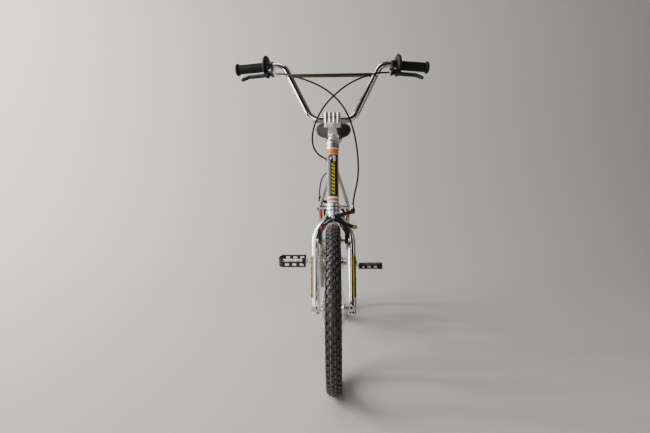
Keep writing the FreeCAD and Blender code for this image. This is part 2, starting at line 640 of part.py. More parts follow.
ring_step = 2 * math.pi / CHAINRING_TEETH
cog_step = 2 * math.pi / SPROCKET_TEETH
ring_wraps = int((2 * math.pi - (UPPER_ANGLE - LOWER_ANGLE)) / ring_step)
cog_wraps = int((UPPER_ANGLE - LOWER_ANGLE) / cog_step)
ring_slack = 2 * math.pi - (UPPER_ANGLE - LOWER_ANGLE) - ring_wraps * ring_step
RING_PHASE = UPPER_ANGLE + ring_slack / 2
rollers = [on_circle(BRACKET, RING_R, RING_PHASE + i * ring_step) for i in range(ring_wraps + 1)]
cog_rollers = []
cog_slack = (UPPER_ANGLE - LOWER_ANGLE) - cog_wraps * cog_step
COG_PHASE = LOWER_ANGLE + cog_slack / 2
for i in range(cog_wraps + 1):
    cog_rollers.append(on_circle(REAR_AXLE, SPROCKET_PITCH_R, COG_PHASE + i * cog_step))


def straight_run(start, end, extra):
    count = int((end - start).Length / CHAIN_PITCH) + extra
    return [start + (end - start) * (i / count) for i in range(1, count)]


lower_run = straight_run(rollers[-1], cog_rollers[0], 0)
upper_run = straight_run(cog_rollers[-1], rollers[0], 1)
loop = rollers + lower_run + cog_rollers + upper_run
print("chain links", len(loop))


def side_plate(a, b, low, high, radius):
    direction = (b - a).normalize()
    other = X_AXIS.cross(direction)
    outline = []
    for centre, start in ((b, -90), (a, 90)):
        for k in range(7):
            angle = math.radians(start + 30 * k)
            outline.append(centre + direction * radius * math.cos(angle) + other * radius * math.sin(angle))
    outline = [V(CHAIN_LINE + low, p.y, p.z) for p in outline]
    return Part.Face(Part.makePolygon(outline + [outline[0]])).extrude(V(high - low, 0, 0))


links = []
for i, start in enumerate(loop):
    end = loop[(i + 1) % len(loop)]
    if i % 2:
        pieces = [side_plate(start, end, 4.0, 5.0, 4.1), side_plate(start, end, -5.0, -4.0, 4.1)]
        pieces += [rod(p - X_AXIS * 5.3, p + X_AXIS * 5.3, 1.6) for p in (start, end)]
        links.append(join(pieces))
    else:
        pieces = [side_plate(start, end, 2.8, 3.8, 4.1), side_plate(start, end, -3.8, -2.8, 4.1)]
        pieces += [rod(p - X_AXIS * 2.8, p + X_AXIS * 2.8, ROLLER_R) for p in (start, end)]
        link = join(pieces)
        for p in (start, end):
            link = link.cut(rod(p - X_AXIS * 6, p + X_AXIS * 6, 1.65))
        links.append(link)
save("chain", *links)


def gear(centre, radius, teeth, phase):
    low = centre + V(CHAIN_LINE - centre.x - GEAR_HALF, 0, 0)
    high = low + X_AXIS * 2 * GEAR_HALF
    body = rod(low, high, radius + 3.0)
    seats = []
    for i in range(teeth):
        spot = on_circle(centre, radius, phase + 2 * math.pi * i / teeth)
        seats.append(rod(spot - X_AXIS * 4, spot + X_AXIS * 4, SEAT_R))
    near = [p for p in loop if (V(0, p.y, p.z) - V(0, centre.y, centre.z)).Length < radius + 12]
    seats += [rod(p - X_AXIS * 4, p + X_AXIS * 4, SEAT_R) for p in near]
    return body.cut(Part.makeCompound(seats))


sprocket = gear(REAR_AXLE, SPROCKET_PITCH_R, SPROCKET_TEETH, COG_PHASE)
sprocket = join([sprocket, rod(REAR_AXLE - X_AXIS * 49, REAR_AXLE - X_AXIS * 38, 25.0)])
sprocket = sprocket.cut(rod(REAR_AXLE - X_AXIS * 30, REAR_AXLE - X_AXIS * 60, 16.0 + RUNNING))
save("freewheel", sprocket)

# ---- Cranks and pedals ----------------------------------------------------
crank_forward = V(0, -math.cos(CRANK_ANGLE), math.sin(CRANK_ANGLE))
SQUARE = 12.6
spindle = rod(BRACKET - X_AXIS * 40, BRACKET + X_AXIS * 40, 8.5)
square_bar = block(V(-82, -SQUARE / 2, -SQUARE / 2), V(82, SQUARE / 2, SQUARE / 2))
square_bar.rotate(V(0, 0, 0), X_AXIS, -math.degrees(CRANK_ANGLE))
square_bar.translate(BRACKET)
middle_cut = rod(BRACKET - X_AXIS * 40, BRACKET + X_AXIS * 40, 30)
spindle = join([spindle, square_bar.cut(middle_cut)])
bolt_holes = [rod(BRACKET + X_AXIS * s * 60, BRACKET + X_AXIS * s * 90, 4.0) for s in (1, -1)]
end_bolts = [join([rod(BRACKET + X_AXIS * side * 60, BRACKET + X_AXIS * side * 82, 4.0),
                   rod(BRACKET + X_AXIS * side * 82, BRACKET + X_AXIS * side * 87, 8.0)]) for side in (1, -1)]
save("crank_spindle", spindle.cut(Part.makeCompound(bolt_holes)), *end_bolts)
SPIDER_R = 58.0
chain_bolts = []
for side, name in ((-1, "right"), (1, "left")):
    reach_direction = crank_forward if side < 0 else crank_forward * -1
    pedal_spot = BRACKET + reach_direction * CRANK_LENGTH
    low = 76 * side
    high = 88 * side
    sideways = X_AXIS.cross(reach_direction)
    corners = [BRACKET + sideways * 13, pedal_spot + sideways * 9]
    corners += [pedal_spot - sideways * 9, BRACKET - sideways * 13]
    corners = [V(low, p.y, p.z) for p in corners]
    arm = Part.Face(Part.makePolygon(corners + [corners[0]])).extrude(V(high - low, 0, 0))
    pieces = [arm, rod(BRACKET + X_AXIS * low, BRACKET + X_AXIS * high, 17.0),
              rod(pedal_spot + X_AXIS * low, pedal_spot + X_AXIS * high, 12.5),
              rod(BRACKET + X_AXIS * side * 50, BRACKET + X_AXIS * high, 16.0)]
    if side < 0:
        for k in range(5):
            angle = 2 * math.pi * k / 5 - CRANK_ANGLE
            tip = BRACKET + V(0, -math.cos(angle) * SPIDER_R, -math.sin(angle) * SPIDER_R)
            root_side = X_AXIS.cross((tip - BRACKET).normalize())
            spider = [BRACKET + root_side * 9, tip + root_side * 6]
            spider += [tip - root_side * 6, BRACKET - root_side * 9]
            spider = [V(CHAIN_LINE - GEAR_HALF - 4, p.y, p.z) for p in spider]
            pieces.append(Part.Face(Part.makePolygon(spider + [spider[0]])).extrude(V(4, 0, 0)))
            outer_face = tip + X_AXIS * (CHAIN_LINE - GEAR_HALF)
            pieces.append(rod(outer_face - X_AXIS * 4, outer_face, 8.0))
            chain_bolts.append(tip)
    arm = join(pieces).cut(square_bar)
    arm = arm.cut(rod(BRACKET + X_AXIS * side * 78, BRACKET + X_AXIS * side * 90, 11.0))
    arm = arm.cut(rod(pedal_spot + X_AXIS * low, pedal_spot + X_AXIS * high, 7.1))
    for tip in chain_bolts:
        arm = arm.cut(rod(tip - X_AXIS * 60, tip - X_AXIS * 40, 4.0))
    save("crank_arm_" + name, arm)

ring_gear = gear(BRACKET, RING_R, CHAINRING_TEETH, RING_PHASE)
ring_gear = ring_gear.cut(rod(BRACKET - X_AXIS * 60, BRACKET - X_AXIS * 40, 17.0))
for k in range(5):
    middle = 2 * math.pi * (k + 0.5) / 5 - CRANK_ANGLE
    window = [(math.radians(-22), 34), (math.radians(22), 34), (math.radians(24), 70), (math.radians(0), 76),
              (math.radians(-24), 70)]
    outline = [V(CHAIN_LINE - 5, BRACKET.y - r * math.cos(middle + a), BRACKET.z - r * math.sin(middle + a))
               for a, r in window]
    ring_gear = ring_gear.cut(Part.Face(Part.makePolygon(outline + [outline[0]])).extrude(V(10, 0, 0)))
bolt_solids = []
for tip in chain_bolts:
    ring_gear = ring_gear.cut(rod(tip - X_AXIS * 60, tip - X_AXIS * 40, 4.0))
    outer_face = tip + X_AXIS * (CHAIN_LINE - GEAR_HALF)
    inner_face = tip + X_AXIS * (CHAIN_LINE + GEAR_HALF)
    bolt = join([rod(outer_face - X_AXIS * 6, inner_face + X_AXIS * 1.2, 4.0),
                 rod(outer_face - X_AXIS * 6, outer_face - X_AXIS * 4, 6.0),
                 rod(inner_face, inner_face + X_AXIS * 1.2, 5.5)])
    bolt_solids.append(bolt)
save("chainring", ring_gear, *bolt_solids)

CAGE_T = 2.4
CAGE_HALF_HEIGHT = 11.5


def pedal(tilt):
    """A rat-trap pedal about the origin; the outer end is at +x."""
    half = PEDAL_HALF_LENGTH
    depth = PEDAL_HALF_DEPTH
    height = 2 * CAGE_HALF_HEIGHT

    def rounded(inset):
        body = block(V(-half + inset, -depth + inset, -CAGE_HALF_HEIGHT),
                     V(half - 24, depth - inset, CAGE_HALF_HEIGHT))
        ends = [Part.makeCylinder(24 - inset, height, V(half - 24, s * (depth - 24), -CAGE_HALF_HEIGHT))
                for s in (1, -1)]
        core = block(V(half - 26, -depth + 24, -CAGE_HALF_HEIGHT),
                     V(half - inset, depth - 24, CAGE_HALF_HEIGHT))
        return join([body, core] + ends)

    cage = rounded(0).cut(rounded(CAGE_T))
    cuts = []
    for i in range(13):
        x = -half + 5 + 6.0 * i
        for z in (-CAGE_HALF_HEIGHT, CAGE_HALF_HEIGHT):
            notch = block(V(-2.1, -depth - 2, -2.1), V(2.1, depth + 2, 2.1))
            notch.rotate(V(0, 0, 0), Y_AXIS, 45)
            notch.translate(V(x, 0, z))
            cuts.append(notch)
    for x in (-34, -8, 18):
        cuts.append(block(V(x - 7, -depth - 2, -5), V(x + 7, depth + 2, 5)))
    cage = cage.cut(Part.makeCompound(cuts))
    cage = cage.cut(rod(V(-half - 5, 0, 0), V(-half + 10, 0, 0), 8.0))
    barrel = join([rod(V(-half + 0.5, 0, 0), V(half - 10, 0, 0), 8.0),
                   rod(V(half - 11, 0, 0), V(half - CAGE_T, 0, 0), 6.8),
                   rod(V(-half + CAGE_T, 0, 0), V(-half + 14, 0, 0), 12.0),
                   rod(V(half - 16, 0, 0), V(half - CAGE_T - 2, 0, 0), 11.0)])
    barrel = barrel.cut(rod(V(-half - 2, 0, 0), V(half - 10, 0, 0), 6.0 + RUNNING))
    shapes = [barrel, cage]
    for shape in shapes:
        shape.rotate(V(0, 0, 0), X_AXIS, tilt)
    return shapes


pedal_axles = []
for side, name, tilt in ((-1, "right", 17.0), (1, "left", -3.0)):
    reach_direction = crank_forward if side < 0 else crank_forward * -1
    spot = BRACKET + reach_direction * CRANK_LENGTH
    shapes = pedal(tilt)
    if side < 0:
        shapes = [s.mirror(V(0, 0, 0), X_AXIS) for s in shapes]
    save("pedal_" + name, *[place(s, spot + X_AXIS * side * PEDAL_X, X_AXIS, Y_AXIS) for s in shapes])
    pedal_axles.append(join([rod(spot + X_AXIS * side * 76, spot + X_AXIS * side * 88, 7.1),
                             rod(spot + X_AXIS * side * 88, spot + X_AXIS * side * 95, 9.0),
                             rod(spot + X_AXIS * side * 95, spot + X_AXIS * side * 186, 6.0)]))
save("pedal_axles", *pedal_axles)

# ---- Brake calipers -------------------------------------------------------
# Local axes: x towards the cable, y up along the fork or stays, z outward.
CABLE_SIDE = 60.0
TIP_Y = 19.0
BARREL_BASE = TIP_Y - 6.0
BARREL_TOP = TIP_Y + 16.0
CABLE_Z = 16.5
ANCHOR = (67.2, -31.0)
ANCHOR_R = 6.2
PAD_X = 16.0
ARM_X = 40.0
ELBOW = (29.0, -17.0)
KNEE = (42.0, -40.0)
PIVOT_R = 3.0


def shoe(side, reach, low):
    """Pad, holder, stud and nut that ride on one arm."""
    pad = block(V(PAD_X, -reach - 5, low), V(PAD_X + 6, -reach + 5, low + 50))
    holder = block(V(PAD_X + 6, -reach - 6, low - 1), V(PAD_X + 9, -reach + 6, low + 51))
    stud = join([rod(V(PAD_X + 9, -reach, 10), V(ARM_X + 13, -reach, 10), PIVOT_R),
                 rod(V(PAD_X + 9, -reach, 10), V(ARM_X - 5, -reach, 10), 5.0),
                 hexagon(V(ARM_X + 5, -reach, 10), X_AXIS, 5, 10)])
    stud = stud.fuse(holder).removeSplitter()
    if side < 0:
        return [pad.mirror(V(0, 0, 0), X_AXIS), stud.mirror(V(0, 0, 0), X_AXIS)]
    return [pad, stud]


def arm_end(side, reach):
    low = block(V(ARM_X - 5, -reach - 10, 4.0), V(ARM_X + 5, -reach + 26, 16))
    slot_cut = block(V(ARM_X - 9, -reach - 6, 10 - PIVOT_R), V(ARM_X + 9, -reach + 20, 10 + PIVOT_R))
    low = low.cut(slot_cut)
    return low if side > 0 else low.mirror(V(0, 0, 0), X_AXIS)


def stopper_arm(reach, pad_low):
    """Arm that carries the cable stop and, across the pivot, the far pad."""
    arm = strip([(CABLE_SIDE, TIP_Y), (32, 12), (0, 0), (-ELBOW[0], ELBOW[1]), (-KNEE[0], KNEE[1]),
                 (-ARM_X, 18 - reach)], [5.5, 5.2, 8.6, 5.6, 4.8, 4.8], 4.5, 9.5)
    boss = Part.makeCylinder(6.5, 18, V(CABLE_SIDE, TIP_Y, 4.5))
    knuckle = block(V(CABLE_SIDE - 6.5, BARREL_BASE, 10), V(CABLE_SIDE + 6.5, TIP_Y + 6, 22))
    body = join([arm, boss, knuckle, arm_end(-1, reach)])
    body = body.cut(rod(V(0, 0, 0), V(0, 0, 30), PIVOT_R + RUNNING))
    barrel = join([rod(V(CABLE_SIDE, BARREL_BASE, CABLE_Z), V(CABLE_SIDE, BARREL_TOP - 1, CABLE_Z), 3.4),
                   rod(V(CABLE_SIDE, TIP_Y + 7, CABLE_Z), V(CABLE_SIDE, BARREL_TOP - 3, CABLE_Z), 5.6),
                   rod(V(CABLE_SIDE, BARREL_TOP - 3, CABLE_Z), V(CABLE_SIDE, BARREL_TOP, CABLE_Z), 4.0)])
    barrel = barrel.cut(rod(V(CABLE_SIDE, 0, CABLE_Z), V(CABLE_SIDE, 60, CABLE_Z), 1.2))
    body = body.cut(rod(V(CABLE_SIDE, 0, CABLE_Z), V(CABLE_SIDE, TIP_Y + 7, CABLE_Z), 3.4))
    return [body, barrel] + shoe(-1, reach, pad_low)


def anchor_arm(reach, pad_low):
    """Arm that carries the cable anchor and the near pad."""
    arm = strip([(0, 0), ELBOW, KNEE, (ARM_X, 18 - reach)], [8.6, 5.6, 4.8, 4.8], 10.0, 14.6)
    branch = strip([ELBOW, ANCHOR], [5.4, 5.4], 10.0, 14.6)
    body = join([arm, branch, arm_end(1, reach)])
    body = body.cut(rod(V(0, 0, 0), V(0, 0, 30), PIVOT_R + RUNNING))
    hole = rod(V(ANCHOR[0], ANCHOR[1], 0), V(ANCHOR[0], ANCHOR[1], 40), 2.5)
    bolt = join([rod(V(ANCHOR[0], ANCHOR[1], 9), V(ANCHOR[0], ANCHOR[1], 20), 2.5),
                 rod(V(ANCHOR[0], ANCHOR[1], 14.6), V(ANCHOR[0], ANCHOR[1], 20), ANCHOR_R),
                 hexagon(V(ANCHOR[0], ANCHOR[1], 6), Z_AXIS, 4, 8)])
    return [body.cut(hole), bolt] + shoe(1, reach, pad_low)


def pivot_set(back):
    """Centre bolt with its washers, nuts and the return spring."""
    bolt = join([rod(V(0, 0, -back - 8), V(0, 0, 19), PIVOT_R),
                 hexagon(V(0, 0, -back - 6), Z_AXIS, 5, 10)])
    seat = rod(V(0, 0, -2), V(0, 0, 4.3), 6.0).cut(rod(V(0, 0, -3), V(0, 0, 10), PIVOT_R))
    nut = hexagon(V(0, 0, 14.8), Z_AXIS, 4, 11).cut(rod(V(0, 0, 10), V(0, 0, 25), PIVOT_R))
    cap_nut = join([rod(V(0, 0, 18.8), V(0, 0, 21), 5.6), Part.makeSphere(4.2, V(0, 0, 21))])
    cap_nut = cap_nut.cut(rod(V(0, 0, 10), V(0, 0, 18.8), 6.0)).cut(rod(V(0, 0, 10), V(0, 0, 19), PIVOT_R))
    spring_points = [V(-30, -30, 2.4), V(-20, -8, 2.4), V(-8, 8.4, 2.4), V(8, 8.4, 2.4), V(20, -8, 2.4),
                     V(30, -30, 2.4)]
    spring = sweep(spring_points, [14, 8, 8, 14], 1.0)
    return [bolt, seat, nut, cap_nut, spring]


FRONT_BRAKE = (steer(0, BRAKE_BOLT_S, 20), X_AXIS, STEER_UP)
REAR_BRAKE = (bridge_centre + rear_normal * 14, X_AXIS * -1, stay_direction)
brakes = (("front", FRONT_BRAKE, FRONT_REACH, "right", "left", 40, -15),
          ("rear", REAR_BRAKE, REAR_REACH, "left", "right", 24, -30))
for name, (origin, x_dir, y_dir), reach, stopper_side, anchor_side, back, pad_low in brakes:
    groups = ((name + "_brake_arm_" + stopper_side, stopper_arm(reach, pad_low)),
              (name + "_brake_arm_" + anchor_side, anchor_arm(reach, pad_low)),
              (name + "_brake_bolt", pivot_set(back)))
    for node, shapes in groups:
        save(node, *[place(s, origin, x_dir, y_dir) for s in shapes])

# ---- Brake levers ---------------------------------------------------------
# Local axes: x outward along the bar, y forward and down, z across the lever.
LEVER_FROM_END = 115.0
LEVER_DROP = math.radians(42.0)
PIVOT_Y = 30.0
CABLE_Y = 46.0
BARREL_INNER = -26.0
lever_origin = end_left + inward * LEVER_FROM_END
lever_x = inward * -1
forward_down = V(0, -math.cos(LEVER_DROP), -math.sin(LEVER_DROP))
lever_y = (forward_down - lever_x * forward_down.dot(lever_x)).normalize()

ring_clamp = rod(V(-7, 0, 0), V(7, 0, 0), 15.5)
cheeks = [strip([(0, 12), (0, PIVOT_Y), (-14, CABLE_Y)], [7.0, 7.0, 5.0], z, z + 2.6) for z in (-7.6, 5.0)]
web = strip([(0, 12), (0, 15)], [7.0, 7.0], -7.6, 7.6)
nose = strip([(-16, CABLE_Y - 12), (-15, CABLE_Y)], [4.0, 5.0], -7.6, 7.6)
barrel = rod(V(-15, CABLE_Y, 0), V(BARREL_INNER, CABLE_Y, 0), 4.2)
bracket = join([ring_clamp, web, nose, barrel] + cheeks)
bracket = bracket.cut(rod(V(-20, 0, 0), V(20, 0, 0), BAR_R))
bracket = bracket.cut(rod(V(0, PIVOT_Y, -20), V(0, PIVOT_Y, 20), 2.5))
bracket = bracket.cut(rod(V(0, CABLE_Y, 0), V(-40, CABLE_Y, 0), 1.2))
pivot_pin = join([rod(V(0, PIVOT_Y, -8), V(0, PIVOT_Y, 8), 2.5),
                  rod(V(0, PIVOT_Y, 7.6), V(0, PIVOT_Y, 9.4), 4.5)])
clamp_screw = rod(V(0, -19, 0), V(0, -15.5, 0), 4.2)
bracket_left = [place(s, lever_origin, lever_x, lever_y) for s in (bracket, pivot_pin, clamp_screw)]
save("lever_brackets", *(bracket_left + [mirrored(s) for s in bracket_left]))

blade = [(0, PIVOT_Y), (5, CABLE_Y), (30, 48), (64, 48), (80, 58)]
lever = strip(blade, [6.5, 5.5, 5.0, 4.4, 4.0], -4.6, 4.6)
lever = join([lever, Part.makeSphere(6.0, V(83, 60, 0))])
lever = lever.cut(rod(V(0, PIVOT_Y, -20), V(0, PIVOT_Y, 20), 2.5 + RUNNING))
lever_left = place(lever, lever_origin, lever_x, lever_y)
save("lever_left", lever_left)
save("lever_right", mirrored(lever_left))

# ---- Brake cables ---------------------------------------------------------
exit_left = lever_origin + lever_x * (BARREL_INNER - GAP) + lever_y * CABLE_Y
exit_right = V(-exit_left.x, exit_left.y, exit_left.z)
into_right = V(-inward.x, inward.y, inward.z)


def brake_point(brake, x, y, z):
    origin, x_dir, y_dir = brake
    return origin + x_dir * x + y_dir * y + x_dir.cross(y_dir) * z


front_stop = brake_point(FRONT_BRAKE, CABLE_SIDE, BARREL_TOP + GAP, CABLE_Z)
rear_stop = brake_point(REAR_BRAKE, CABLE_SIDE, BARREL_TOP + GAP, CABLE_Z)
front_route = [exit_right, exit_right + into_right * 24 + V(0, -3, -1), V(-118, -318, 941),
               V(-67, -338, 922), V(-26, -353, 900), V(9, -361, 872), V(35, -367, 840),
               V(54, -368, 802), V(67, -371, 758), V(75, -374, 708), V(78, -374, 658),
               V(75, -370, 616), front_stop + STEER_UP * 28 + V(3, 0, 0), front_stop]


def beside_top_tube(x, y):
    share = (y - top_start.y) / (top_end.y - top_start.y)
    return V(x, y, top_start.z + (top_end.z - top_start.z) * share)


rear_route = [exit_left, exit_left + inward * 24 + V(0, -3, -1), V(112, -318, 941), V(72, -332, 925),
              V(39, -341, 905), V(7, -347, 879), V(-22, -356, 848), V(-43, -356, 815), V(-57, -350, 782),
              V(-63, -341, 750), V(-60, -328, 722), V(-47, -309, 701), V(-29, -280, 690),
              beside_top_tube(-CABLE_BESIDE, -238), beside_top_tube(-CABLE_BESIDE, 185),
              V(-27, 231, 639), V(-41, 262, 629), V(-54, 286, 605),
              rear_stop + stay_direction * 26 + V(-1, 0, 0), rear_stop]


def brake_cable(route, brake):
    radii = cord_radii(route)
    housing = sweep(route, radii, CABLE_R)
    length = smooth_wire(route, radii).Length
    wire = rod(brake_point(brake, CABLE_SIDE, BARREL_BASE - GAP, CABLE_Z),
               brake_point(brake, CABLE_SIDE, -58, CABLE_Z), 0.8)
    print("cable length", round(length), "radii", [round(r) for r in radii])
    print("volume ratio", round(housing.Volume / (length * math.pi * CABLE_R ** 2), 4))
    return [housing, wire]


save("front_brake_cable", *brake_cable(front_route, FRONT_BRAKE))
save("rear_brake_cable", *brake_cable(rear_route, REAR_BRAKE))

top_direction = (top_end - top_start).normalize()
clips = []
for share in (0.2, 0.52, 0.84):
    centre = top_start + (top_end - top_start) * share
    clip = tube(centre - top_direction * 5, centre + top_direction * 5, MAIN_TUBE_R + 1.2, MAIN_TUBE_R)
    cable_spot = V(-CABLE_BESIDE, centre.y, centre.z)
    clip = join([clip, rod(cable_spot - top_direction * 5, cable_spot + top_direction * 5, CABLE_R + 1.6)])
    clip = clip.cut(rod(centre - top_direction * 6, centre + top_direction * 6, MAIN_TUBE_R))
    cable_hole = rod(cable_spot - top_direction * 6, cable_spot + top_direction * 6, CABLE_R + 0.5)
    clips.append(clip.cut(cable_hole))
save("cable_clips", *clips)

# ---- Saddle ---------------------------------------------------------------
POST_LOW = 190.0
POST_SHOULDER = 490.0
POST_TOP = 522.0
post = join([rod(BRACKET + SEAT_UP * POST_LOW, BRACKET + SEAT_UP * POST_SHOULDER, STEERER_R),
             rod(BRACKET + SEAT_UP * POST_SHOULDER, BRACKET + SEAT_UP * POST_TOP, 11.0)])
post = post.cut(rod(BRACKET + SEAT_UP * (POST_LOW - 1), BRACKET + SEAT_UP * (POST_TOP - 4), 9.4))
save("seatpost", post)
clamp_centre = BRACKET + SEAT_UP * 510
RAIL_Z = clamp_centre.z
RAIL_X = 22.0
collar = tube(BRACKET + SEAT_UP * 499, BRACKET + SEAT_UP * 520, 15.0, 11.0)
cheek_pieces = []
for side in (1, -1):
    cheek = join([rod(clamp_centre + X_AXIS * side * 14, clamp_centre + X_AXIS * side * RAIL_X, 11.0),
                  rod(clamp_centre + X_AXIS * side * RAIL_X, clamp_centre + X_AXIS * side * 28, 14.0)])
    cheek_pieces.append(cheek)
cross_bolt = [join([rod(clamp_centre + X_AXIS * side * 28, clamp_centre + X_AXIS * side * 33, 4.0),
                    hexagon(clamp_centre + X_AXIS * side * 28, X_AXIS * side, 5, 12)]) for side in (1, -1)]
saddle_clamp = join([collar] + cheek_pieces).cut(rod(BRACKET + SEAT_UP * 480, BRACKET + SEAT_UP * 540, 11.0))
rails = []
for side in (1, -1):
    rail_points = [V(side * 12, 172, RAIL_Z + 45), V(side * 15, 196, RAIL_Z + 2),
                   V(side * RAIL_X, 238, RAIL_Z), V(side * RAIL_X, 316, RAIL_Z),
                   V(side * 34, 346, RAIL_Z + 8), V(side * 40, 362, RAIL_Z + 62)]
    rail = sweep(rail_points, [12, 40, 30, 14], 3.5)
    rails.append(rail)
    saddle_clamp = saddle_clamp.cut(rail)
save("saddle_frame", saddle_clamp, *(rails + cross_bolt))

# Saddle stations: distance back, half width, crown height, edge height.
STATIONS = ((138, 12, 822, 806), (165, 21, 830, 794), (205, 27, 832, 782), (250, 37, 834, 777),
            (300, 56, 840, 784), (345, 74, 848, 795), (380, 75, 853, 805), (404, 52, 852, 820))
SHELL_T = 4.0


def saddle_section(y, half_width, crown, edge, inset):
    top = crown - inset
    wide = half_width - inset
    low = edge - (2 * inset)
    side_z = low + (top - low) * 0.45
    shoulder_z = low + (top - low) * 0.85
    half = [(wide * 0.93, low), (wide, side_z), (wide * 0.82, shoulder_z), (wide * 0.42, top - 1)]
    outline = [(-x, z) for x, z in half] + [(0, top)] + half[::-1]
    points = [V(x, y, z) for x, z in outline]
    return Part.makePolygon(points + [points[0]])


outer = Part.makeLoft([saddle_section(*row, 0) for row in STATIONS], True, True)
inner = Part.makeLoft([saddle_section(*row, SHELL_T) for row in STATIONS[1:-1]], True, True)
save("saddle", outer.cut(inner))
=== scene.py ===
import bpy
import math
from mathutils import Vector, Matrix


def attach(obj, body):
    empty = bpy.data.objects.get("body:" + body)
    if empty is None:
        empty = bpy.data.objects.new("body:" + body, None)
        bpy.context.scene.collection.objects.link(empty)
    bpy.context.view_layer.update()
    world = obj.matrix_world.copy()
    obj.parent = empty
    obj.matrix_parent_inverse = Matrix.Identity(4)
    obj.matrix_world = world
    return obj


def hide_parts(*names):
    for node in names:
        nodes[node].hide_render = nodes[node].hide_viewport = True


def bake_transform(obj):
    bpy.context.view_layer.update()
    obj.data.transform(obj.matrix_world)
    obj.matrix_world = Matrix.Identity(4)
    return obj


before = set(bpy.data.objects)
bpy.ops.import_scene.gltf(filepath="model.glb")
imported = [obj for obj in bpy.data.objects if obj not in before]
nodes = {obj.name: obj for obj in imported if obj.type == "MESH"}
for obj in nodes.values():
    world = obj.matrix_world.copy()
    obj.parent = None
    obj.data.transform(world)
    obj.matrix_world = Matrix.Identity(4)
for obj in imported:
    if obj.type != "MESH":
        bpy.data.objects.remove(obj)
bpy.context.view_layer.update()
scene = bpy.context.scene

# Steering axis, as in the CAD model, in metres.
HEAD = math.radians(72)
UP = Vector((0, math.cos(HEAD), math.sin(HEAD)))
FORWARD = Vector((0, -math.sin(HEAD), math.cos(HEAD)))
FRONT_AXLE = Vector((0, -0.470, 0.248))
REAR_AXLE = Vector((0, 0.470, 0.248))
FOOT = FRONT_AXLE - FORWARD * 0.032
BRACKET = Vector((0, 0.110, 0.288))
# Heights along the steering axis of the bar clamp and the front brake's pivot.
CLAMP_S = 0.583
BRAKE_S = 0.273


def steer(x, along, forward=0.0):
    return FOOT + UP * along + FORWARD * forward + Vector((x, 0, 0))


# ---- Shader values --------------------------------------------------------
class Val:
    """A shader value with arithmetic."""

    def __init__(self, tree, socket):
        self.tree = tree
        self.socket = socket

    def math(self, operation, *others):
        node = self.tree.nodes.new("ShaderNodeMath")
        node.operation = operation
        self.tree.links.new(self.socket, node.inputs[0])
        for i, other in enumerate(others):
            if isinstance(other, Val):
                self.tree.links.new(other.socket, node.inputs[i + 1])
            else:
                node.inputs[i + 1].default_value = other
        return Val(self.tree, node.outputs[0])

    def __add__(self, other):
        return self.math("ADD", other)

    def __sub__(self, other):
        return self.math("SUBTRACT", other)

    def __mul__(self, other):
        return self.math("MULTIPLY", other)

    def above(self, other):
        return self.math("GREATER_THAN", other)

    def below(self, other):
        return self.math("LESS_THAN", other)

    def between(self, low, high):
        return self.above(low) * self.below(high)

    def absolute(self):
        return self.math("ABSOLUTE")

    def either(self, other):
        return self.math("MAXIMUM", other)

    def opposite(self):
        return (self * -1) + 1


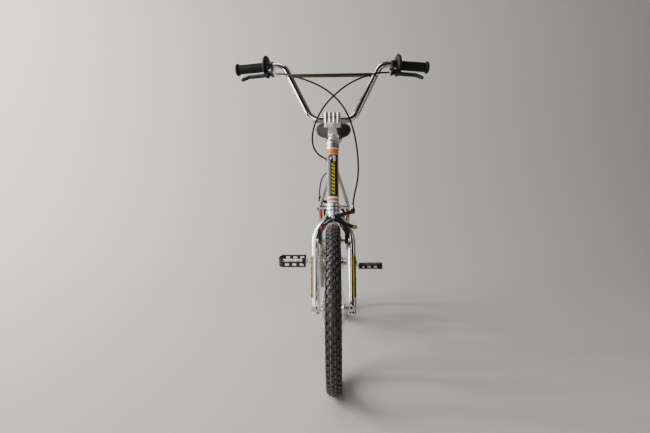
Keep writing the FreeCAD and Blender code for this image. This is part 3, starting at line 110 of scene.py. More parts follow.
class Finish:
    """One procedural material, in the row frame's metres."""

    def __init__(self, name, colour, metallic=0.0, rough=0.4, coat=0.0):
        self.material = bpy.data.materials.new(name)
        self.material.use_nodes = True
        self.tree = self.material.node_tree
        self.shader = self.tree.nodes["Principled BSDF"]
        coordinates = self.tree.nodes.new("ShaderNodeTexCoord")
        self.place = coordinates.outputs["Object"]
        split = self.tree.nodes.new("ShaderNodeSeparateXYZ")
        self.link(self.place, split.inputs[0])
        self.x = Val(self.tree, split.outputs[0])
        self.y = Val(self.tree, split.outputs[1])
        self.z = Val(self.tree, split.outputs[2])
        self.shader.inputs["Base Color"].default_value = (*colour, 1)
        self.colour = None
        self.base = colour
        self.metallic = self.constant(metallic)
        self.rough = self.constant(rough)
        self.height = None
        self.shader.inputs["Coat Weight"].default_value = coat
        self.shader.inputs["Coat Roughness"].default_value = 0.06

    def link(self, a, b):
        self.tree.links.new(a, b)

    def constant(self, number):
        node = self.tree.nodes.new("ShaderNodeValue")
        node.outputs[0].default_value = number
        return Val(self.tree, node.outputs[0])

    def rgb(self, colour):
        node = self.tree.nodes.new("ShaderNodeRGB")
        node.outputs[0].default_value = (*colour, 1)
        return node.outputs[0]

    def noise(self, scale, detail=4.0, stretch=None, roughness=0.55):
        node = self.tree.nodes.new("ShaderNodeTexNoise")
        node.inputs["Scale"].default_value = scale
        node.inputs["Detail"].default_value = detail
        node.inputs["Roughness"].default_value = roughness
        source = self.place
        if stretch:
            mapping = self.tree.nodes.new("ShaderNodeMapping")
            mapping.inputs["Scale"].default_value = stretch
            self.link(self.place, mapping.inputs[0])
            source = mapping.outputs[0]
        self.link(source, node.inputs["Vector"])
        return Val(self.tree, node.outputs[0])

    def along(self, direction, origin):
        """Distance along a direction from an origin, in metres."""
        shifted = self.x * direction.x + self.y * direction.y + self.z * direction.z
        return shifted - origin.dot(direction)

    def vary(self, value, low, high):
        """Spread a 0 to 1 value over a range."""
        node = self.tree.nodes.new("ShaderNodeMapRange")
        node.inputs["From Min"].default_value = 0.3
        node.inputs["From Max"].default_value = 0.7
        node.inputs["To Min"].default_value = low
        node.inputs["To Max"].default_value = high
        self.link(value.socket, node.inputs["Value"])
        return Val(self.tree, node.outputs[0])

    def tint(self, mask, colour, metallic=None, rough=None):
        """Where the mask is 1 the surface takes another colour and finish."""
        mix = self.tree.nodes.new("ShaderNodeMix")
        mix.data_type = "RGBA"
        self.link(mask.socket, mix.inputs["Factor"])
        self.link(self.colour or self.rgb(self.base), mix.inputs["A"])
        self.link(colour.socket if isinstance(colour, Val) else self.rgb(colour), mix.inputs["B"])
        self.colour = mix.outputs["Result"]
        if metallic is not None:
            self.metallic = self.metallic * mask.opposite() + mask * metallic
        if rough is not None:
            self.rough = self.rough * mask.opposite() + mask * rough
        return self

    def bump(self, value, strength, distance):
        node = self.tree.nodes.new("ShaderNodeBump")
        node.inputs["Strength"].default_value = strength
        node.inputs["Distance"].default_value = distance
        self.link(value.socket, node.inputs["Height"])
        if self.height:
            self.link(self.height, node.inputs["Normal"])
        self.height = node.outputs[0]
        return self

    def done(self):
        if self.colour:
            self.link(self.colour, self.shader.inputs["Base Color"])
        self.link(self.metallic.socket, self.shader.inputs["Metallic"])
        self.link(self.rough.socket, self.shader.inputs["Roughness"])
        if self.height:
            self.link(self.height, self.shader.inputs["Normal"])
        return self.material


CHROME = (0.80, 0.80, 0.81)
ORANGE = (0.80, 0.20, 0.035)
RED_ORANGE = (0.62, 0.085, 0.02)
YELLOW = (0.72, 0.58, 0.025)
BLACK = (0.012, 0.012, 0.013)
WHITE = (0.80, 0.79, 0.76)
BRASS = (0.62, 0.42, 0.14)


def chrome(name, rough=0.07, colour=CHROME):
    """Plated steel: faint haze, fine polishing lines and a few specks."""
    made = Finish(name, colour, 1.0, rough)
    haze = made.noise(38, 6)
    made.rough = made.vary(haze, rough, rough + 0.09)
    specks = made.noise(1100, 2).above(0.80)
    made.tint(specks * haze.above(0.55), (0.40, 0.36, 0.32), 0.7, 0.35)
    made.bump(made.noise(90, 2), 0.012, 0.0002)
    return made


def plastic(name, colour, rough, grain, depth, sheen=0.5):
    made = Finish(name, colour, 0.0, rough)
    made.shader.inputs["Specular IOR Level"].default_value = sheen
    made.rough = made.vary(made.noise(60, 5), rough - 0.07, rough + 0.1)
    made.tint(made.noise(14, 4).above(0.55) * 0.35, tuple(c * 1.9 + 0.004 for c in colour))
    made.bump(made.noise(grain, 4), 0.35, depth)
    return made


def brushed(name, colour, rough, stretch):
    made = Finish(name, colour, 1.0, rough)
    lines = made.noise(60, 5, stretch)
    made.rough = made.vary(lines, rough - 0.06, rough + 0.12)
    made.tint(made.noise(25, 4).above(0.6) * 0.4, tuple(c * 0.72 for c in colour))
    made.bump(lines, 0.08, 0.0003)
    return made


def coated(name, rough=0.28):
    """Black paint with bright wear on raised spots."""
    made = Finish(name, BLACK, 0.0, rough, 0.12)
    made.shader.inputs["Specular IOR Level"].default_value = 0.3
    made.rough = made.vary(made.noise(45, 5), rough - 0.08, rough + 0.14)
    wear = made.noise(120, 6).above(0.70) * made.noise(22, 2).above(0.55)
    made.tint(wear, (0.30, 0.29, 0.28), 0.8, 0.35)
    made.bump(made.noise(420, 3), 0.15, 0.0003)
    return made


def assign(material, *names):
    for name in names:
        node = nodes[name]
        if not node.material_slots:
            node.data.materials.append(material)
        for slot in node.material_slots:
            slot.material = material


# ---- Materials of the CAD nodes -------------------------------------------
plain_chrome = chrome("chrome_plate").done()
assign(plain_chrome, "bottom_bracket_shell", "chainstay_left", "chainstay_right", "rear_dropouts",
       "frame_bridges", "fork_dropouts", "seatpost", "cable_clips")
# Handlebar: the crossbar is tinted darker and browner than the rest of the bar.
bar_plate = chrome("bar_plate", 0.08)
bar_s = bar_plate.along(UP, FOOT)
bar_plate.x = bar_plate.x.absolute()
bar_plate.tint((bar_s - 0.734).absolute().below(0.0080) * bar_plate.x.below(0.127), (0.13, 0.098, 0.08), 0.88)
# Painted shade: the lower half of the bar's middle section near the stem is tinted darker brown.
bar_plate.tint(bar_s.below(0.5775) * bar_plate.x.below(0.085), (0.34, 0.27, 0.22), 0.7)
assign(bar_plate.done(), "handlebar")

rings = chrome("headset_plate", 0.28, (0.90, 0.90, 0.89))
ring_s = rings.along(UP, FOOT)
for middle in (0.3236, 0.3115, 0.3000, 0.5068, 0.5140, 0.5253):
    rings.tint((ring_s - middle).absolute().below(0.0013), (0.015, 0.013, 0.012), 0.2, 0.5)
assign(rings.done(), "headset_cups", "headset_races", "fork_steerer")
stem_alloy = chrome("polished_alloy", 0.25, (0.88, 0.88, 0.87))
stem_s = stem_alloy.along(UP, FOOT)
stem_alloy.tint((stem_s - CLAMP_S).absolute().below(0.0011), (0.03, 0.03, 0.03), 0.9, 0.5)
assign(stem_alloy.done(), "stem_body", "stem_cap")
assign(brushed("crank_alloy", (0.72, 0.72, 0.73), 0.2, (1, 6, 1)).done(), "crank_arm_left", "crank_arm_right")
hub_finish = brushed("hub_alloy", (0.70, 0.70, 0.71), 0.2, (12, 1, 1)).done()
assign(hub_finish, "front_hub", "rear_hub")
steel = brushed("zinc_steel", (0.62, 0.61, 0.58), 0.28, (3, 3, 3)).done()
assign(steel, "stem_bolts", "stem_expander", "bottom_bracket_bearings", "seat_clamp", "rear_axle_set",
       "front_axle_set", "front_brake_bolt", "rear_brake_bolt", "front_spokes", "rear_spokes", "freewheel",
       "crank_spindle", "pedal_axles", "saddle_frame")
assign(coated("black_coat").done(), "lever_left", "lever_right", "rear_brake_arm_left",
       "rear_brake_arm_right")

rim_finish = chrome("rim_plate", 0.06)
assign(rim_finish.done(), "front_rim", "rear_rim")

ring_finish = coated("chainring_coat", 0.3)
radius = ((ring_finish.y - BRACKET.y) * (ring_finish.y - BRACKET.y)
          + (ring_finish.z - BRACKET.z) * (ring_finish.z - BRACKET.z)).math("SQRT")
ring_finish.tint(radius.above(0.0865), (0.42, 0.40, 0.38), 1.0, 0.3)
ring_finish.tint(radius.between(0.050, 0.066) * ring_finish.x.below(-0.0535), (0.7, 0.7, 0.7), 1.0, 0.25)
assign(ring_finish.done(), "chainring")

chain_finish = brushed("chain_steel", (0.30, 0.285, 0.265), 0.34, (2, 2, 2))
chain_finish.tint(chain_finish.noise(300, 4).above(0.56), (0.06, 0.045, 0.03), 0.6, 0.6)
assign(chain_finish.done(), "chain")

# Head tube: a wrapped transfer with bands and a plain pattern of marks.
head = Finish("head_tube_paint", ORANGE, 0.0, 0.22, 0.1)
head.shader.inputs["Specular IOR Level"].default_value = 0.35
head_s = head.along(UP, FOOT)
head_n = head.along(FORWARD, FOOT)
panel = head_s.between(0.343, 0.4825) * head_n.above(0.0094)
inside = head_s.between(0.3445, 0.481) * head_n.above(0.0104)
head.rough = head.vary(head.noise(30, 4), 0.20, 0.34)
head.tint(head_s.between(0.4985, 0.5015), WHITE)
head.tint(head_s.between(0.324, 0.331), WHITE)
head.tint(head_s.between(0.338, 0.343), WHITE)
head.tint(panel, WHITE)
head.tint(inside, BLACK)
row = ((head_s - 0.350) * 88).math("FRACT")
across = (head.x - 0.0012).absolute().below(0.0046)
diagonal = (row + (head.x - 0.0012) * 70).between(0.16, 0.62)
edge_bar = (head.x - 0.0012).between(0.0026, 0.0052) * row.between(0.10, 0.86)
head.tint(inside * across * diagonal.either(edge_bar) * head_s.between(0.350, 0.4555), YELLOW)
dot = (head.x + 0.006) * (head.x + 0.006) + (head_s - 0.468) * (head_s - 0.468)
head.tint(dot.below(0.0000105) * inside, WHITE)
slash = (head.x - 0.004 + (head_s - 0.468) * 0.5).absolute().below(0.0016)
bars = ((head_s - 0.459) * 220).math("FRACT").below(0.66) * (head.x - 0.005).absolute().below(0.0045)
head.tint((slash.either(bars)) * inside * head_s.between(0.459, 0.478), WHITE)
head.bump(head.noise(500, 2), 0.04, 0.0002)
assign(head.done(), "head_tube")

# Down, top and seat tubes: chrome with orange and black transfers.
HEAD_LOW = steer(0, 0.346)
HEAD_HIGH = steer(0, 0.476)
SEAT = math.radians(71.5)
SEAT_UP = Vector((0, math.cos(SEAT), math.sin(SEAT)))


def striped(name, start, end, spans, panel_span):
    made = chrome(name)
    direction = (end - start).normalized()
    along = made.along(direction, start)
    for low, high, colour in spans:
        made.tint(along.between(low, high), colour, 0.0, 0.22)
    low, high = panel_span
    if high > low:
        marks = (along * 34).math("FRACT")
        cross = direction.cross(Vector((1, 0, 0)))
        height = made.along(cross, start).absolute()
        middle = along.between(low, high) * height.below(0.0055)
        made.tint(middle * marks.between(0.12, 0.78), YELLOW, 0.0, 0.22)
    return made.done()


assign(striped("down_tube_transfer", HEAD_LOW, BRACKET,
               [(0.0, 0.53, RED_ORANGE), (0.225, 0.232, WHITE), (0.232, 0.42, BLACK), (0.42, 0.427, WHITE)],
               (0.245, 0.405)), "down_tube")
assign(striped("top_tube_transfer", HEAD_HIGH, BRACKET + SEAT_UP * 0.366,
               [(0.0, 0.535, RED_ORANGE), (0.150, 0.156, WHITE), (0.156, 0.36, BLACK), (0.36, 0.366, WHITE)],
               (0.17, 0.345)), "top_tube")
assign(striped("seat_tube_transfer", BRACKET, BRACKET + SEAT_UP * 0.404,
               [(0.20, 0.205, WHITE), (0.205, 0.26, ORANGE), (0.26, 0.265, WHITE)], (0, 0)), "seat_tube")

# Painted shade: the stays' chrome gets a darker grey base colour than the other chrome; the orange band is a
# transfer.
stay = chrome("seatstay_transfer", 0.16, (0.46, 0.45, 0.44))
stay.tint(stay.z.between(0.446, 0.481), RED_ORANGE, 0.0, 0.25)
assign(stay.done(), "seatstay_left", "seatstay_right")

# Fork legs: a black panel with a yellow border on the outside of each leg.
leg = chrome("fork_leg_transfer")
leg_s = leg.along(UP, FOOT)
leg_out = leg.x.absolute() - 0.055
leg.tint(leg_s.between(0.032, 0.162) * leg_out.above(0.0030), YELLOW, 0.0, 0.24)
leg.tint(leg_s.between(0.0355, 0.1585) * leg_out.above(0.0072), BLACK, 0.0, 0.24)
leg_n = leg.along(FORWARD, FOOT)
leg_marks = ((leg_s + leg_n * 0.6) * 62).math("FRACT").below(0.6) * leg_n.absolute().below(0.0045)
leg.tint(leg_marks * leg_s.between(0.045, 0.148) * leg_out.above(0.0072), WHITE, 0.0, 0.24)
assign(leg.done(), "fork_leg_left", "fork_leg_right")

# Front caliper arms: black, with brass, steel and red details and a painted highlight along one arm.
arms = coated("front_caliper_coat", 0.25)
arm_s = arms.along(UP, FOOT) - BRAKE_S
arm_n = arms.along(FORWARD, FOOT) - 0.020
pads = arms.x.absolute().between(0.0155, 0.0222) * arm_s.below(-0.060)
arms.tint(pads, (0.22, 0.13, 0.03), 0.0, 0.7)
shoe_stud = arms.x.absolute().between(0.0222, 0.0348) * arm_s.between(-0.0765, -0.0635)
arms.tint(shoe_stud, (0.42, 0.38, 0.20), 1.0, 0.3)
arms.tint(arms.x.absolute().above(0.0450) * arm_s.below(-0.060), (0.74, 0.72, 0.68), 1.0, 0.25)
brass_bolt = (arms.x - 0.0672) * (arms.x - 0.0672) + (arm_s + 0.031) * (arm_s + 0.031)
arms.tint(brass_bolt.below(0.0000400), BRASS, 1.0, 0.3)
arms.tint(brass_bolt.below(0.0000068), (0.75, 0.74, 0.7), 1.0, 0.2)
barrel = (arms.x - 0.060).absolute().below(0.0062) * arm_s.above(0.0250)
knurl = (arms.x * 900).math("SINE").above(0.0)
arms.tint(barrel * arm_s.above(0.0320), (0.74, 0.73, 0.70), 1.0, 0.25)
arms.tint(barrel * arm_s.below(0.0322) * knurl, (0.30, 0.29, 0.28), 1.0, 0.3)
# Painted highlight: a grey metallic streak slanting down from the pivot along the left arm.
slope = (arm_s + arms.x.absolute() * 0.62 - 0.0010).absolute()
painted_highlight = arms.x.between(-0.031, -0.009) * slope.below(0.0023) * arm_n.above(0.0090)
arms.tint(painted_highlight, (0.62, 0.62, 0.61), 1.0, 0.22)
arms.tint(arms.x.between(-0.043, -0.034) * arm_s.between(-0.034, -0.024), (0.60, 0.03, 0.025), 0.0, 0.3)
assign(arms.done(), "front_brake_arm_left", "front_brake_arm_right")

# Pedals: black cages over a bright barrel.
pedal = coated("pedal_coat", 0.32)
for y, z in ((0.110 - 0.170 * math.cos(math.radians(12.6)), 0.288 + 0.170 * math.sin(math.radians(12.6))),
             (0.110 + 0.170 * math.cos(math.radians(12.6)), 0.288 - 0.170 * math.sin(math.radians(12.6)))):
    near = (pedal.y - y) * (pedal.y - y) + (pedal.z - z) * (pedal.z - z)
    pedal.tint(near.below(0.000075), (0.66, 0.65, 0.62), 1.0, 0.25)
assign(pedal.done(), "pedal_left", "pedal_right")

# ---- Mesh helpers ---------------------------------------------------------
def add_mesh(name, vertices, faces, material, smooth=True):
    mesh = bpy.data.meshes.new(name)
    mesh.from_pydata([tuple(v) for v in vertices], [], faces)
    mesh.materials.append(material)
    for face in mesh.polygons:
        face.use_smooth = smooth
    mesh.validate()
    piece = bpy.data.objects.new(name, mesh)
    scene.collection.objects.link(piece)
    return piece


def rings_to_faces(count, size, closed=True):
    faces = []
    for i in range(count if closed else count - 1):
        j = (i + 1) % count
        for k in range(size):
            m = (k + 1) % size
            faces.append((i * size + k, i * size + m, j * size + m, j * size + k))
    return faces


# ---- Tyres ----------------------------------------------------------------
ROWS = 66
CASING_CENTRE = 0.2235
CASING_R = 0.0197


def on_tyre(turn, side_angle, height):
    radius = CASING_CENTRE + (CASING_R + height) * math.cos(side_angle)
    x = (CASING_R + height) * math.sin(side_angle) * 1.02
    return Vector((x, radius * math.sin(turn), radius * math.cos(turn)))


def tyre_casing():
    """Casing outline from bead to bead and back along the inside."""
    outline = [(-0.0122, 0.2005), (-0.0124, 0.2097)]
    for k in range(25):
        angle = math.radians(-128 + 256 * k / 24)
        outline.append((CASING_R * math.sin(angle) * 1.02, CASING_CENTRE + CASING_R * math.cos(angle)))
    outline += [(0.0124, 0.2097), (0.0122, 0.2005), (0.0095, 0.2005), (0.0095, 0.2100)]
    for k in range(13):
        angle = math.radians(118 - 236 * k / 12)
        inner = CASING_R - 0.0032
        outline.append((inner * math.sin(angle), CASING_CENTRE + inner * math.cos(angle)))
    outline += [(-0.0095, 0.2100), (-0.0095, 0.2005)]
    return outline


def knob(vertices, faces, turn, span, low, high, height, lean=0.0):
    """One tread block, wider at its foot than at its top."""
    start = len(vertices)
    for level, grow in ((-0.0012, 1.14), (height * 0.82, 1.0), (height, 0.84)):
        middle_t = turn + span / 2
        middle_a = (low + high) / 2
        for t, a in ((0, low), (1, low), (1, high), (0, high)):
            shift = lean * (a - middle_a)
            tt = middle_t + (turn + t * span - middle_t) * grow + shift
            aa = middle_a + (a - middle_a) * grow
            vertices.append(on_tyre(tt, aa, level))
    for ring in (0, 4):
        for k in range(4):
            m = (k + 1) % 4
            faces.append((start + ring + k, start + ring + m, start + ring + 4 + m, start + ring + 4 + k))
    faces.append((start + 8, start + 9, start + 10, start + 11))


def build_tyre(name, axle, body, material):
    outline = tyre_casing()
    segments = 120
    vertices = []
    for i in range(segments):
        turn = 2 * math.pi * i / segments
        for x, radius in outline:
            vertices.append(Vector((x, radius * math.sin(turn), radius * math.cos(turn))))
    faces = rings_to_faces(segments, len(outline))
    pitch = 2 * math.pi / ROWS
    rad = math.radians
    for i in range(ROWS):
        turn = i * pitch
        for side in (-1, 1):
            shift = pitch * (0.0 if side < 0 else 0.5)
            for start, length, inner, outer, height in (
                    (0.04, 0.60, 1.2, 19.5, 0.0045), (0.52, 0.62, 25.5, 43.0, 0.0044),
                    (0.02, 0.66, 49.0, 66.0, 0.0040), (0.50, 0.52, 71.0, 84.0, 0.0022)):
                low, high = sorted((rad(inner * side), rad(outer * side)))
                knob(vertices, faces, turn + shift + pitch * start, pitch * length, low, high, height)
    vertices = [v + axle for v in vertices]
    tyre = add_mesh(name, vertices, faces, material, False)
    for face in tyre.data.polygons[:segments * len(outline)]:
        face.use_smooth = True
    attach(tyre, body)
    return tyre


tyre_rubber = plastic("tyre_compound", (0.022, 0.021, 0.021), 0.40, 900, 0.0005, 0.55)
tyre_rubber.tint(tyre_rubber.noise(70, 6).above(0.56) * 0.55, (0.055, 0.052, 0.048), 0.0, 0.85)
# Painted highlights: two dotted light lines on the tread, a bright one at the left centre knobs' outer edge
# and a dimmer one right of centre.
highlight_dots = tyre_rubber.noise(380, 2).above(0.47)
tyre_rubber.tint((tyre_rubber.x + 0.0082).absolute().below(0.0011) * highlight_dots, (0.34, 0.34, 0.33), 0.0, 0.5)
tyre_rubber.tint((tyre_rubber.x - 0.0040).absolute().below(0.0008) * highlight_dots, (0.15, 0.15, 0.15), 0.0, 0.5)
tyre_rubber = tyre_rubber.done()
front_tyre = build_tyre("knobbly_tyre_front", FRONT_AXLE, "front_wheel", tyre_rubber)
rear_tyre = build_tyre("knobbly_tyre_rear", REAR_AXLE, "rear_wheel", tyre_rubber)
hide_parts("front_tyre")
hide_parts("rear_tyre")

# ---- Grips ----------------------------------------------------------------
BAR_TOP = steer(0, CLAMP_S + 0.188, 0.048)
BAR_END = Vector((0.308, BAR_TOP.y + 0.030, BAR_TOP.z - 0.008))
INWARD = (Vector((0.1546, BAR_TOP.y, BAR_TOP.z)) - BAR_END).normalized()
GRIP_LENGTH = 0.100
GRIP_STEPS = 150
GRIP_ROUND = 84


def grip_radius(t, turn):
    """Outside of the grip at distance t from the bar's end."""
    length = GRIP_LENGTH
    if t < 0.0075:
        share = (t + 0.0024) / 0.0099
        return 0.0160 + 0.0040 * math.sin(math.pi * min(1, max(0, share))) ** 0.5
    if t > length - 0.0055:
        share = (t - length + 0.0055) / 0.0110
        return 0.0362 * math.sin(math.pi * (0.10 + 0.80 * min(1, share))) ** 0.12
    ramp = min(1, (t - 0.0075) / 0.004, (length - 0.0055 - t) / 0.003)
    a = math.sin(turn * 9 + t * 780)
    b = math.sin(turn * 9 - t * 780)
    ridge = max(abs(a), abs(b)) ** 6
    return 0.0145 + 0.0010 * ridge * ramp


def build_grip(name, side):
    vertices = []
    across = INWARD.cross(Vector((0, 0, 1))).normalized()
    above = across.cross(INWARD)
    for i in range(GRIP_STEPS + 1):
        t = -0.0024 + (GRIP_LENGTH + 0.0079) * i / GRIP_STEPS
        for k in range(GRIP_ROUND):
            turn = 2 * math.pi * k / GRIP_ROUND
            r = grip_radius(t, turn)
            vertices.append(BAR_END + INWARD * t + across * r * math.cos(turn) + above * r * math.sin(turn))
    for t, r in ((GRIP_LENGTH + 0.0055, 0.0113), (0.0005, 0.0113)):
        for k in range(GRIP_ROUND):
            turn = 2 * math.pi * k / GRIP_ROUND
            vertices.append(BAR_END + INWARD * t + across * r * math.cos(turn) + above * r * math.sin(turn))
    faces = rings_to_faces(GRIP_STEPS + 3, GRIP_ROUND, False)
    last = (GRIP_STEPS + 2) * GRIP_ROUND
    faces.append(tuple(last + k for k in range(GRIP_ROUND)))
    first = tuple(reversed(range(GRIP_ROUND)))
    faces.append(first)
    if side < 0:
        vertices = [Vector((-v.x, v.y, v.z)) for v in vertices]
        faces = [tuple(reversed(f)) for f in faces]
    piece = add_mesh(name, vertices, faces, grip_rubber)
    piece.data.polygons[len(faces) - 1].use_smooth = False
    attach(piece, "steering")
    return piece


grip_rubber = plastic("grip_compound", (0.009, 0.009, 0.010), 0.5, 700, 0.0007, 0.2)
grip_rubber = grip_rubber.done()
for name, side in (("left", 1), ("right", -1)):
    grip = build_grip("waffle_grip_" + name, side)
    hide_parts("grip_" + name)

# ---- Saddle ---------------------------------------------------------------
# Distance back, half width, crown height and lower edge height.
SADDLE = ((0.139, 0.010, 0.821, 0.808), (0.150, 0.017, 0.826, 0.799), (0.178, 0.023, 0.830, 0.789),
          (0.210, 0.027, 0.832, 0.781), (0.250, 0.037, 0.834, 0.777), (0.300, 0.056, 0.840, 0.784),
          (0.345, 0.074, 0.848, 0.795), (0.380, 0.076, 0.853, 0.805), (0.398, 0.064, 0.853, 0.817),
          (0.403, 0.042, 0.851, 0.828))
PROFILE = ((-0.90, 0.0), (-0.985, 0.22), (-1.0, 0.46), (-0.94, 0.70), (-0.78, 0.88), (-0.55, 0.965),
           (-0.28, 0.993), (0.0, 1.0))
section = list(PROFILE) + [(-x, z) for x, z in reversed(PROFILE[:-1])]
vertices = []
for y, half, crown, edge in SADDLE:
    for x, z in section:
        dip = 0.0022 * math.exp(-(x * 3.2) ** 2) if 0.2 < y < 0.37 else 0
        vertices.append((x * half, y, edge + (crown - edge) * z - dip))
width = len(section)
faces = []
for i in range(len(SADDLE) - 1):
    for k in range(width - 1):
        faces.append((i * width + k, i * width + k + 1, (i + 1) * width + k + 1, (i + 1) * width + k))
faces.append(tuple(range(width)))
faces.append(tuple(reversed(range((len(SADDLE) - 1) * width, len(SADDLE) * width))))
saddle_skin = plastic("saddle_moulding", (0.010, 0.010, 0.011), 0.58, 420, 0.0008, 0.14).done()
saddle = add_mesh("saddle_moulded", vertices, faces, saddle_skin)
thick = saddle.modifiers.new("wall", "SOLIDIFY")
thick.thickness = 0.0035
thick.offset = -1
smooth = saddle.modifiers.new("smooth", "SUBSURF")
smooth.levels = 3
smooth.render_levels = 3
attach(saddle, "seat")
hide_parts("saddle")

# ---- Brake cables ---------------------------------------------------------
LEVER_DROP = math.radians(42)
lever_x = INWARD * -1
lever_origin = BAR_END + INWARD * 0.115
forward_down = Vector((0, -math.cos(LEVER_DROP), -math.sin(LEVER_DROP)))
lever_y = (forward_down - lever_x * forward_down.dot(lever_x)).normalized()
exit_left = lever_origin + lever_x * -0.0263 + lever_y * 0.046
exit_right = Vector((-exit_left.x, exit_left.y, exit_left.z))
into_right = Vector((-INWARD.x, INWARD.y, INWARD.z))
stay_dir = (Vector((0, 0.228, 0.640)) - REAR_AXLE).normalized()
stay_out = Vector((0, stay_dir.z, -stay_dir.y))
CABLE_R = 0.0028


# Lever brackets: black, with silver pivot screws and cable adjusters.
brackets = coated("lever_bracket_coat", 0.25)
lever_z = lever_x.cross(lever_y)
screw = lever_origin + lever_y * 0.030
brackets.x = brackets.x.absolute()
side_x = brackets.along(lever_x, lever_origin)
side_y = brackets.along(lever_y, screw)
side_z = brackets.along(lever_z, screw)
from_screw = side_x * side_x + side_y * side_y
brackets.tint(from_screw.below(0.000026) * side_z.absolute().above(0.0070), (0.78, 0.77, 0.74), 1.0, 0.2)
brackets.tint(side_x.below(-0.0175) * side_y.above(0.008), (0.74, 0.73, 0.70), 1.0, 0.22)
brackets.tint(brackets.along(lever_y, lever_origin).below(-0.0152), (0.72, 0.71, 0.68), 1.0, 0.25)
assign(brackets.done(), "lever_brackets")


def beside_top_tube(x, y):
    high = steer(0, 0.476)
    low = BRACKET + SEAT_UP * 0.366
    share = (y - high.y) / (low.y - high.y)
    return Vector((x, y, high.z + (low.z - high.z) * share))


# Each cable passes its caliper CABLE_SIDE off centre; heights are from the pivot.
CABLE_SIDE = 0.060
STOP_HEIGHT = 0.0353
WIRE_TOP = 0.0127
WIRE_FOOT = -0.058
WIRE_R = 0.0008


def front_wire_point(height):
    return steer(CABLE_SIDE, BRAKE_S + height, 0.0365)


def rear_wire_point(height):
    return REAR_AXLE + stay_dir * (0.290 + height) + stay_out * 0.0305 + Vector((-CABLE_SIDE, 0, 0))


front_stop = front_wire_point(STOP_HEIGHT)
rear_stop = rear_wire_point(STOP_HEIGHT)
V = Vector
front_route = [exit_right, exit_right + into_right * 0.024 + V((0, -0.003, -0.001)),
               V((-0.118, -0.318, 0.941)),
               V((-0.067, -0.338, 0.922)), V((-0.026, -0.353, 0.900)), V((0.009, -0.361, 0.872)),
               V((0.035, -0.367, 0.840)), V((0.054, -0.368, 0.802)), V((0.067, -0.371, 0.758)),
               V((0.075, -0.374, 0.708)), V((0.078, -0.374, 0.658)), V((0.075, -0.370, 0.616)),
               front_stop + UP * 0.028 + V((0.003, 0, 0)), front_stop]
rear_route = [exit_left, exit_left + INWARD * 0.024 + V((0, -0.003, -0.001)), V((0.112, -0.318, 0.941)),
              V((0.072, -0.332, 0.925)), V((0.039, -0.341, 0.905)), V((0.007, -0.347, 0.879)),
              V((-0.022, -0.356, 0.848)), V((-0.043, -0.356, 0.815)), V((-0.057, -0.350, 0.782)),
              V((-0.063, -0.341, 0.750)), V((-0.060, -0.328, 0.722)), V((-0.047, -0.309, 0.701)),
              V((-0.029, -0.280, 0.690)), beside_top_tube(-0.0177, -0.238), beside_top_tube(-0.0177, 0.185),
              V((-0.027, 0.231, 0.639)), V((-0.041, 0.262, 0.629)), V((-0.054, 0.286, 0.605)),
              rear_stop + stay_dir * 0.026 + V((-0.001, 0, 0)), rear_stop]


def spline_points(route):
    curve = bpy.data.curves.new("route", "CURVE")
    curve.dimensions = "3D"
    spline = curve.splines.new("NURBS")
    spline.points.add(len(route) - 1)
    for point, place in zip(spline.points, route):
        point.co = (*place, 1)
    spline.order_u = 3
    spline.use_endpoint_u = True
    spline.resolution_u = 12
    holder = bpy.data.objects.new("route", curve)
    scene.collection.objects.link(holder)
    mesh = bpy.data.meshes.new_from_object(holder)
    places = [v.co.copy() for v in mesh.vertices]
    bpy.data.objects.remove(holder)
    return places


def pipe(name, places, radius, material, sides=12):
    vertices = []
    side = Vector((0, 0, 1))
    for i, place in enumerate(places):
        ahead = (places[min(i + 1, len(places) - 1)] - places[max(i - 1, 0)]).normalized()
        side = (side - ahead * side.dot(ahead)).normalized()
        other = ahead.cross(side)
        for k in range(sides):
            turn = 2 * math.pi * k / sides
            vertices.append(place + side * radius * math.cos(turn) + other * radius * math.sin(turn))
    faces = rings_to_faces(len(places), sides, False)
    faces.append(tuple(reversed(range(sides))))
    faces.append(tuple((len(places) - 1) * sides + k for k in range(sides)))
    return add_mesh(name, vertices, faces, material)


cable_skin = plastic("cable_housing", (0.008, 0.008, 0.009), 0.42, 1200, 0.0002, 0.18).done()
wire_finish = brushed("cable_wire", (0.55, 0.54, 0.52), 0.3, (30, 30, 4)).done()
front_cable = pipe("front_cable_housing", spline_points(front_route), CABLE_R, cable_skin)
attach(front_cable, "steering")
rear_cable = pipe("rear_cable_housing", spline_points(rear_route), CABLE_R, cable_skin)
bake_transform(rear_cable)
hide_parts("front_brake_cable")
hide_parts("rear_brake_cable")
wire_heights = (WIRE_TOP, 0, WIRE_FOOT)
front_wire = pipe("front_inner_wire", [front_wire_point(h) for h in wire_heights], WIRE_R, wire_finish, 8)
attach(front_wire, "steering")
rear_wire = pipe("rear_inner_wire", [rear_wire_point(h) for h in wire_heights], WIRE_R, wire_finish, 8)
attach(rear_wire, "frame")

# ---- Studio ---------------------------------------------------------------
COVE_START = 0.95
COVE_R = 1.5
backdrop_rows = [(-7.0, 0.0), (COVE_START, 0.0)]
for k in range(1, 17):
    angle = math.radians(90 * k / 16)
    backdrop_rows.append((COVE_START + COVE_R * math.sin(angle), COVE_R - COVE_R * math.cos(angle)))
backdrop_rows.append((COVE_START + COVE_R, 5.0))
vertices = []
for y, z in backdrop_rows:
    vertices += [(-7, y, z - 0.0002), (7, y, z - 0.0002)]
faces = [(2 * i, 2 * i + 1, 2 * i + 3, 2 * i + 2) for i in range(len(backdrop_rows) - 1)]
paper = Finish("studio_paper", (0.60, 0.585, 0.56), 0.0, 0.85)
paper.bump(paper.noise(40, 3), 0.02, 0.001)
backdrop = add_mesh("backdrop", vertices, faces, paper.done())

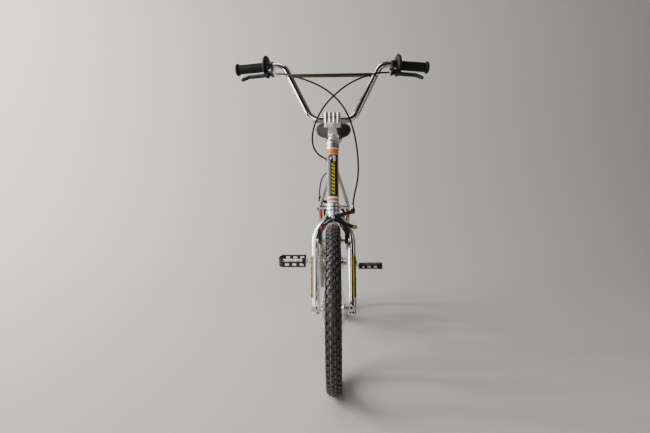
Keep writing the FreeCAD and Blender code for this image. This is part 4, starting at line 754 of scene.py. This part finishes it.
# The paper shows from its front only, so the bike can be seen from behind too.
tree = backdrop.data.materials[0].node_tree
facing = tree.nodes.new("ShaderNodeNewGeometry")
clear = tree.nodes.new("ShaderNodeBsdfTransparent")
blend = tree.nodes.new("ShaderNodeMixShader")
surface = tree.nodes["Material Output"].inputs["Surface"]
tree.links.new(facing.outputs["Backfacing"], blend.inputs[0])
tree.links.new(tree.nodes["Principled BSDF"].outputs[0], blend.inputs[1])
tree.links.new(clear.outputs[0], blend.inputs[2])
tree.links.new(blend.outputs[0], surface)

world = bpy.data.worlds.new("studio_world")
scene.world = world
world.use_nodes = True
sky = world.node_tree
direction = sky.nodes.new("ShaderNodeTexCoord")
parts = sky.nodes.new("ShaderNodeSeparateXYZ")
sky.links.new(direction.outputs["Generated"], parts.inputs[0])
ramp = sky.nodes.new("ShaderNodeValToRGB")
ramp.color_ramp.elements[0].position = 0.20
ramp.color_ramp.elements[0].color = (0.075, 0.052, 0.038, 1)
ramp.color_ramp.elements[1].position = 0.72
ramp.color_ramp.elements[1].color = (0.55, 0.54, 0.52, 1)
turned = sky.nodes.new("ShaderNodeMapRange")
turned.inputs["From Min"].default_value = -1
turned.inputs["From Max"].default_value = 1
sky.links.new(parts.outputs[1], turned.inputs["Value"])
sky.links.new(turned.outputs[0], ramp.inputs[0])
sight = sky.nodes.new("ShaderNodeLightPath")
seen = sky.nodes.new("ShaderNodeMix")
seen.data_type = "RGBA"
seen.inputs["B"].default_value = (1.1, 1.08, 1.05, 1)
sky.links.new(sight.outputs["Is Camera Ray"], seen.inputs["Factor"])
sky.links.new(ramp.outputs[0], seen.inputs["A"])
sky.links.new(seen.outputs["Result"], sky.nodes["Background"].inputs[0])
sky.nodes["Background"].inputs[1].default_value = 0.36


def soft_light(name, spot, target, size, power, colour=(1, 1, 1)):
    data = bpy.data.lights.new(name, "AREA")
    data.shape = "RECTANGLE"
    data.size, data.size_y = size
    data.energy = power
    data.color = colour
    lamp = bpy.data.objects.new(name, data)
    scene.collection.objects.link(lamp)
    lamp.location = spot
    lamp.rotation_euler = (Vector(target) - Vector(spot)).to_track_quat("-Z", "Y").to_euler()
    return lamp


soft_light("window_left", (-2.7, -0.9, 2.0), (0, 0.2, 0.5), (2.0, 2.6), 118, (1.0, 0.985, 0.96))
soft_light("backdrop_wash", (-3.2, 0.9, 2.0), (-1.6, 2.2, 1.0), (0.8, 2.0), 95, (1.0, 0.99, 0.97))
soft_light("top_soft", (-0.6, -0.3, 2.8), (-0.2, 0, 0.3), (1.2, 1.2), 13)
soft_light("front_strip", (-0.9, -3.2, 1.1), (0, -0.4, 0.6), (1.1, 2.4), 26, (1.0, 0.99, 0.97))
soft_light("fill_right", (2.4, -1.8, 1.3), (0, 0, 0.6), (0.3, 1.8), 3)

# ---- Camera ---------------------------------------------------------------
camera_data = bpy.data.cameras.new("camera")
camera_data.sensor_width = 36
camera_data.lens = 36 * 590.4 / 650
camera = bpy.data.objects.new("camera", camera_data)
scene.collection.objects.link(camera)
yaw = math.radians(1.17)
pitch = math.radians(4.61)
roll = math.radians(0.58)
look = Vector((-math.sin(yaw) * math.cos(pitch), math.cos(yaw) * math.cos(pitch), -math.sin(pitch)))
turn = look.to_track_quat("-Z", "Y").to_matrix().to_4x4()
camera.matrix_world = Matrix.Translation((0.0118, -2.165, 0.655)) @ turn @ Matrix.Rotation(-roll, 4, "Z")
scene.camera = camera
